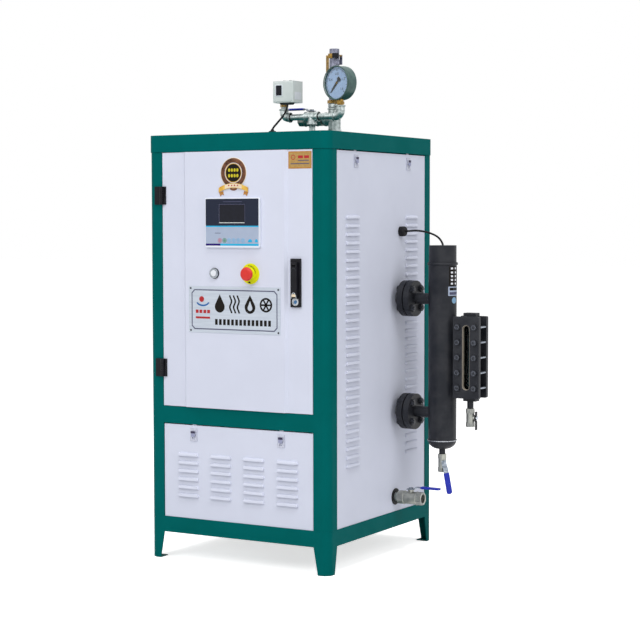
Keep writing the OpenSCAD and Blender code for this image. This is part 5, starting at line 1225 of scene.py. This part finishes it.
class BOILER_OT_valves(bpy.types.Operator):
    """Ball valves with their levers, sleeves, nuts and end hexagons"""

    bl_idname = "boiler.valves"
    bl_label = "Ball valves"

    def execute(self, context):
        for node, look, width in (
            ("drain_valve_bodies", "rough_stainless", 0.8), ("main_valve_bodies", "rough_stainless", 1.0),
            ("column_drain_lever", "bright_zinc", 0.4), ("sight_drain_lever", "black_nylon", 0.6),
            ("blowdown_lever", "bright_zinc", 0.4), ("steam_lever", "bright_zinc", 0.4),
        ):
            dressed(node, look, width)
        self.drain_trim()
        self.main_trim()
        return {"FINISHED"}

    def drain_trim(self):
        """The wing and nut of the sight glass's drain lever, and the column drain lever's sleeve."""
        low, high = cad("sight_drain_lever")
        wing = [block((high.x - 3.2, low.y + 1, high.z - 4), (high.x - 0.4, high.y - 1, high.z + 10),
                      "black_nylon", 1.2),
                hexagon(11, 4, (high.x - 0.8, (low.y + high.y) / 2, high.z - 9), "chrome_plate", along=RIGHT)]
        settle("sight_drain_wing", wing, "sight_drain_lever")
        drain = (shift(COLUMN.x, COLUMN.y, 283) @ turn_about("Z", -45) @ turn_about("Y", 90)
                 @ turn_about("Z", 10))
        grip = sleeve(28, 93.5, 17.5, 6.5, lever_height(15, 91), drain)
        settle("sleeve", [grip], "column_drain_lever")

    def main_trim(self):
        """Sleeves, body beads and packing nuts of the blowdown and steam valves."""
        height = lever_height(25, 95)
        half_body, bead_in, r = 40, 19.2, 19
        bead = [(-2, r + 0.4), (-0.8, r + 1.8), (0.8, r + 1.8), (2, r + 0.4)]
        rings = []
        for lever, (x, y, z), turn, start in (("blowdown_lever", BLOWDOWN, 0, 34),
                                              ("steam_lever", STEAM, 180, 27)):
            grip = sleeve(start, 98, 18, 6.8, height, shift(x, y, z) @ turn_about("Z", turn))
            settle("sleeve", [grip], lever)
            rings += [turned(bead, "rough_stainless", (x + side * (half_body - bead_in), y, z), RIGHT)
                      for side in (-1, 1)]
            rings.append(turned([(0, 9.6), (3.4, 9.6)], "rough_stainless", (x, y, z + 21.5), UP, 6, 0.6))
        settle("main_valve_beads", rings, "cabinet")


# Top pipework


def band(x, y, z, along, r, length=5.0):
    """The thick rounded rim at the mouth of a cast pipe fitting."""
    half = length / 2
    steps = [(-half, r - 1.2), (-half + 0.9, r), (half - 0.9, r), (half, r - 1.2)]
    return turned(steps, "galvanised_iron", (x, y, z), along)


class BOILER_OT_top(bpy.types.Operator):
    """Gauge pipe, pressure controller, pressure gauge, steam riser and safety valve"""

    bl_idname = "boiler.top"
    bl_label = "Top pipework"

    def execute(self, context):
        dressed("steam_riser", "galvanised_iron")
        self.gauge_pipe()
        self.controller()
        self.gauge(context.scene.boiler_sizes.dial_span)
        self.safety_valve()
        return {"FINISHED"}

    def gauge_pipe(self):
        """Threaded pipe with a tee and two swept elbows, over the CAD pipe, and the rims of all fittings."""
        low, high = cad("gauge_manifold")
        left_x, right_x, y, z = low.x + 13.5, high.x - 13.5, PIPE_Y, CAP_TOP + 60
        riser_x = (left_x + right_x) / 2
        iron = "galvanised_iron"
        pipe, body, sweep, reach = 9.5, 13.4, 17, 24
        parts = [turned([(left_x, pipe), (right_x, pipe)], iron, (0, y, z), RIGHT),
                 turned([(-reach, body), (reach, body)], iron, (riser_x, y, z), RIGHT),
                 turned([(-reach, body), (0, body)], iron, (riser_x, y, z)),
                 turned([(low.z - z, pipe), (0, pipe)], iron, (riser_x, y, z))]
        rim, rim_in = 15.6, reach - 2.5
        bands = []
        for side, x, up in ((1, left_x, 26), (-1, right_x, 32)):
            parts += [self.elbow(x, y, z, side, body, sweep),
                      turned([(sweep, body), (reach, body)], iron, (x, y, z), (side, 0, 0)),
                      turned([(sweep, body), (up, body)], iron, (x, y, z))]
            bands += [band(x + side * rim_in, y, z, RIGHT, rim), band(x, y, z + up - 2.5, UP, rim),
                      band(riser_x - side * rim_in, y, z, RIGHT, rim)]
        settle("gauge_pipe", parts, "cabinet", ("gauge_manifold",))
        bands.append(band(riser_x, y, z - rim_in, UP, rim))
        tee_z = STEAM[2]
        bands += [band(SAFETY_X, SAFETY_Y, tee_z + 31, UP, 21.2, 6),
                  band(SAFETY_X, SAFETY_Y, tee_z - 35, UP, 21.2, 6),
                  band(SAFETY_X - 29.5, SAFETY_Y, tee_z, RIGHT, 21.2, 6)]
        settle("fitting_bands", bands, "cabinet")
        threads = [turned([(0, 9.7), (0.9, 10.3), (1.8, 9.7)], iron, (riser_x, y, z - 26 - 2.0 * i), sides=32)
                   for i in range(4)]
        settle("riser_threads", threads, "cabinet")

    def elbow(self, x, y, z, side, body, sweep):
        """A quarter of a torus, from the level pipe to the upright one."""
        clear()
        bpy.ops.mesh.primitive_torus_add(major_radius=sweep, minor_radius=body, major_segments=48,
                                         minor_segments=32, location=(x + side * sweep, y, z + sweep),
                                         rotation=(math.radians(90), 0, 0))
        piece = fix()
        edit()
        for cut_at, facing in (((x + side * sweep, 0, 0), (side, 0, 0)), ((0, 0, z + sweep), UP)):
            bpy.ops.mesh.select_all(action="SELECT")
            bpy.ops.mesh.bisect(plane_co=cut_at, plane_no=facing, clear_outer=True, use_fill=True)
        close()
        return painted(eased(piece, 0), "galvanised_iron")

    def controller(self):
        """Pressure controller: grey moulded cover with a scale window, setting screws and a brass union."""
        dressed("pressure_controller", "grey_abs", 2.4, 3)
        high = cad("pressure_controller")[1]
        stem_x, stem_y = -22, -20
        box_low_z, x0, x1, y = high.z - 65, high.x - 71, high.x, PIPE_Y - 28
        mid_x, mid_z = (x0 + x1) / 2, (box_low_z + high.z) / 2
        window = flat(x0 + 21.5, y - 1.2, high.z - 28.5)
        beside = shift(x1, stem_y, mid_z - 12) @ turn_about("Z", 90) @ turn_about("X", 90)
        parts = [
            cut_plate([rounded_outline(64, 58, 4)], 1.2, flat(mid_x, y, mid_z), "grey_abs", 0.5),
            cut_plate([rounded_outline(24, 34, 2), rounded_outline(20.5, 30.5, 1.5)], 1.0, window, "white_abs",
                      0.3),
            cut_plate([rounded_outline(20.6, 30.6, 1.5)], 0.5, window, "screen_glass"),
            cut_plate([rounded_outline(38, 22, 1)], 0.25, beside, "white_print"),
        ]
        parts += [turned([(0, 6), (2.4, 5.6), (3.0, 4.6)], "black_nylon", (mid_x + dx, stem_y, high.z),
                         sides=24) for dx in (-12, 10)]
        settle("pressure_controller_trim", parts, "cabinet")
        fittings = [hexagon(21, 9, (stem_x, stem_y, box_low_z - 12), "machined_brass"),
                    cut_plate([[(-24, 0), (20, 0), (15, -6), (-20, -6)]], 22, flat(x0 + 42, y + 27, box_low_z),
                              "dark_abs", 1.5)]
        settle("pressure_controller_fittings", fittings, "cabinet")

    def gauge(self, span):
        """Pressure gauge: enamelled case with a rolled rim, printed dial, glass, needle and brass union."""
        case = dressed("gauge_case", "case_enamel")
        repainted(case, lambda at: at.z < GAUGE.z - 50.3, "machined_brass")
        glaze("gauge_lens", "gauge_glass_pane", "f4f8fa", 0.03)
        # the gauge's own frame: +Z out of the dial towards the reader, +Y up
        own = shift(GAUGE.x, PIPE_Y, GAUGE.z) @ turn_about("Z", GAUGE_TURN) @ turn_about("X", 90)
        rims = [turned([(0, 50.2), (0.6, 51.2), (3.5, 51.2), (4.6, 50.2), (4.6, 47.7), (3.8, 47.2), (3.8, 50)],
                       "case_enamel", (0, 0, 13.0), sides=72, ring=True),
                turned([(0, 50.0), (0.8, 50.9), (2.4, 50.9), (3.2, 50.0), (1.6, 49)], "case_enamel",
                       (0, 0, -16.9), sides=72, ring=True)]
        for rim in rims:
            rim.data.transform(own)
        settle("gauge_rims", rims, "cabinet")
        self.needle(own @ shift(0, 0, 12.2) @ turn_about("Z", NEEDLE_TURN))
        self.dial(own @ shift(0, 0, 10.4), span)
        union_z, square_z = cad("gauge_manifold")[1].z + 2.5, GAUGE.z - 54.5
        fittings = [hexagon(26, 8, (GAUGE.x, -20, union_z), "machined_brass"),
                    hexagon(19.5, 5, (GAUGE.x, -20, square_z), "machined_brass")]
        settle("gauge_fittings", fittings, "cabinet")

    def needle(self, plane):
        """A tapered blade with a crescent tail, under a brass cap."""
        half = [(36, 1.3), (0.7, 3.8), (-5, 2.8), (-8, 3.2), (-11, 8), (-19, 6)]
        blade = [(0.7, -3.8), (36, -1.3), *half, (-19, -6), (-11, -8), (-8, -3.2), (-5, -2.8)]
        cap = turned([(0.6, 3.4), (1.2, 3.2), (1.6, 2.2)], "machined_brass", sides=28)
        cap.data.transform(plane)
        parts = [cut_plate([blade], 0.8, plane, "black_print", 0.15), cap]
        settle("needle", parts, "gauge_needle", ("gauge_needle",))

    def dial(self, plane, span):
        """White dial with 40 divisions on a scale line, five figures and a brass boss."""
        start, marks, ink = math.radians(225), 40, 0.12
        parts = [cut_plate([ring_outline(47.2, 72), ring_outline(1.9, 16)], 0.3, plane, "dial_print")]
        for i in range(marks + 1):
            long, thick = (7, 1.5) if i % 10 == 0 else (5.5, 1.1) if i % 5 == 0 else (3.5, 0.6)
            at = plane @ Matrix.Rotation(start - span * i / marks, 4, "Z") @ shift(41.5 - long / 2, 0, 0.28)
            parts.append(cut_plate([rounded_outline(long, thick, 0.05, 1)], ink, at, "black_print"))
        outer, inner = 42.6, 41.6
        turns = [start - span * i / 60 for i in range(61)]
        arc = [(outer * math.cos(a), outer * math.sin(a)) for a in turns]
        back = [(x * inner / outer, y * inner / outer) for x, y in reversed(arc)]
        parts.append(cut_plate([arc + back], ink, plane @ shift(0, 0, 0.28), "black_print"))
        for i, text in enumerate(("0", "0.4", "0.8", "1.2", "1.6")):
            a = start - span * i / 4
            at = plane @ shift(27.5 * math.cos(a), 27.5 * math.sin(a) * 0.96, 0.34)
            parts.append(self.figure(text, at))
        boss = turned([(0, 3.2), (0.6, 3.0)], "machined_brass", sides=24)
        boss.data.transform(plane @ shift(0, 0, 0.25))
        settle("gauge_dial", [*parts, boss], "cabinet")

    def figure(self, text, at):
        """A printed number of the dial."""
        clear()
        bpy.ops.object.text_add(location=(0, 0, 0))
        words = bpy.context.object.data
        words.body = text
        words.size = 11
        words.align_x = words.align_y = "CENTER"
        words.extrude = 0.06
        words.resolution_u = 4
        bpy.ops.object.convert(target="MESH")
        shape = bpy.context.object
        shape.data.transform(at)
        return painted(shape, "black_print")

    def safety_valve(self):
        """Brass and bronze valve with its rings, and the black cheek in front of its cap."""
        dressed("safety_body", "grey_casting", 0.7)
        dressed("safety_stem", "grey_casting", 1.2, 3)
        dressed("safety_lever", "machined_brass", 0.5)
        x, y = SAFETY_X, SAFETY_Y
        # the cheeks stay in front of the cap and the collar under the lever, so that both are free to lift
        parts = [
            hexagon(38, 10, (x, y, 1363), "machined_brass", 1.2),
            turned([(0, 17.5), (2, 19.5), (10, 19.5), (12, 17.5)], "galvanised_iron", (x, y, 1350.5)),
            turned([(0, 17.2), (1, 18), (3.2, 18), (4.2, 17.2)], "machined_brass", (x, y, 1414)),
            turned([(0, 11), (1, 12.4), (5, 12.4), (6, 11)], "grey_casting", (x, y + 23.5, 1385), BACK),
            block((x + 2, y - 18.6, 1500), (x + 22, y - 15.4, 1514), "black_enamel", 1.2),
            block((x - 12, y - 18.2, 1498.5), (x + 2.5, y - 15.4, 1513), "machined_brass"),
            block((x + 17, y - 15.6, 1497), (x + 22, y - 11.2, 1513), "black_enamel"),
            turned([(0, 14.5), (7.8, 14.5), (8.4, 13.8), (8.4, 8), (0, 8)], "grey_casting", (x, y, 1495),
                   ring=True),
        ]
        settle("safety_valve_rings", parts, "cabinet")


# Inside


class BOILER_OT_inside(bpy.types.Operator):
    """Vessel, insulation, heater, tank, pump and the equipment behind the door"""

    bl_idname = "boiler.inside"
    bl_label = "Inside"

    def execute(self, context):
        vessel = dressed("boiler_vessel", "red_grey_primer", 0.6)
        panel_x = cad("right_panel")[1].x - 4
        repainted(vessel, lambda at: at.x > panel_x, "slate_enamel")
        for node, look, width in (
            ("vessel_jacket", "foil_cloth", 1.5), ("heater_bundle", "rolled_stainless", 0.8),
            ("water_tank", "rolled_stainless", 1.5), ("feed_pump", "pump_enamel", 1.2),
            ("pump_rotor", "turned_stainless", 0.4), ("inner_pipes", "galvanised_iron", 0.5),
            ("equipment_plate", "yellow_zinc", 0.8), ("contactors", "white_abs", 1.2),
        ):
            dressed(node, look, width)
        self.contactor_trim()
        self.wiring_ducts()
        self.jacket_straps()
        return {"FINISHED"}

    def contactor_trim(self):
        """Terminal screws, arc slots drawn as thin black plates of painted shade, and a bridge on each
        contactor.
        """
        low = cad("contactors")[0]
        x, y, z = low
        parts = []
        for mid in (x + 31, x + 111, x + 191):
            for dx in (mid - 18, mid, mid + 18):
                parts += [turned([(0, 3.6), (1.2, 3.4), (1.6, 2.2)], "bright_zinc", (dx, y, up), FORWARD, 14)
                          for up in (z + 7, z + 35)]
                # a thin black plate stands in for each arc slot: painted shade where the opening would be dark
                parts.append(block((dx - 5, y + 19.4, z + 52), (dx + 5, y + 20.1, z + 60), "black_nylon", 0.2))
            parts.append(block((mid - 14, y + 17.5, z + 64), (mid + 14, y + 20.5, z + 76), "black_nylon", 0.8))
        settle("contactor_trim", parts, "cabinet")

    def wiring_ducts(self):
        """Two ducts above and below the contactors, their slots drawn as black strips of painted shade, and the
        rail behind them.
        """
        low, high = cad("contactors")
        plate_y = cad("equipment_plate")[1].y - 3
        back = plate_y - 0.05
        parts = []
        for z in (low.z - 70, high.z + 30):
            parts.append(block((-150, plate_y - 40, z), (150, back, z + 36), "grey_abs", 0.8))
            # each black strip is painted shade standing in for an open slot in the duct's face
            rib = block((-1.2, plate_y - 40.6, z + 3), (1.2, plate_y - 39.6, z + 30), "black_nylon", 0.2)
            parts += repeated(rib, [shift(-144 + 12 * i, 0) for i in range(25)])
        parts.append(block((-160, plate_y - 4, low.z + 34), (160, back, low.z + 69), "bright_zinc", 0.6))
        settle("wiring_ducts", parts, "cabinet")

    def jacket_straps(self):
        low, high = cad("vessel_jacket")
        mid = (low + high) / 2
        r = (high.x - low.x) / 2
        steps = [(-8, r - 0.5), (-8, r + 0.7), (8, r + 0.7), (8, r - 0.5)]
        straps = [turned(steps, "rolled_stainless", (mid.x, mid.y, z), sides=72, ring=True)
                  for z in (low.z + 190, low.z + 300, high.z - 90)]
        settle("jacket_straps", straps, "cabinet")


# Panel and registration


class BOILER_PT_panel(bpy.types.Panel):
    """Lists the boiler's steps"""

    bl_label = "Steam boiler"
    bl_space_type = "VIEW_3D"
    bl_region_type = "UI"
    bl_category = "Boiler"

    def draw(self, context):
        for group in (context.scene.boiler_sizes, context.scene.boiler_stage):
            for key in group.__annotations__:
                self.layout.prop(group, key)
        for step in STEPS:
            self.layout.operator(step.bl_idname)


STEPS = (BOILER_OT_stage, BOILER_OT_leads, BOILER_OT_cabinet, BOILER_OT_door, BOILER_OT_controls,
         BOILER_OT_column, BOILER_OT_valves, BOILER_OT_top, BOILER_OT_inside)


def register():
    for made in (BoilerSizes, BoilerStage, *STEPS, BOILER_PT_panel):
        bpy.utils.register_class(made)
    bpy.types.Scene.boiler_sizes = bpy.props.PointerProperty(type=BoilerSizes)
    bpy.types.Scene.boiler_stage = bpy.props.PointerProperty(type=BoilerStage)


def unregister():
    del bpy.types.Scene.boiler_sizes
    del bpy.types.Scene.boiler_stage
    for made in (BOILER_PT_panel, *reversed(STEPS), BoilerStage, BoilerSizes):
        bpy.utils.unregister_class(made)


def main():
    register()
    for step in STEPS:
        group, name = step.bl_idname.split(".")
        getattr(getattr(bpy.ops, group), name)()


if __name__ == "__main__":
    main()
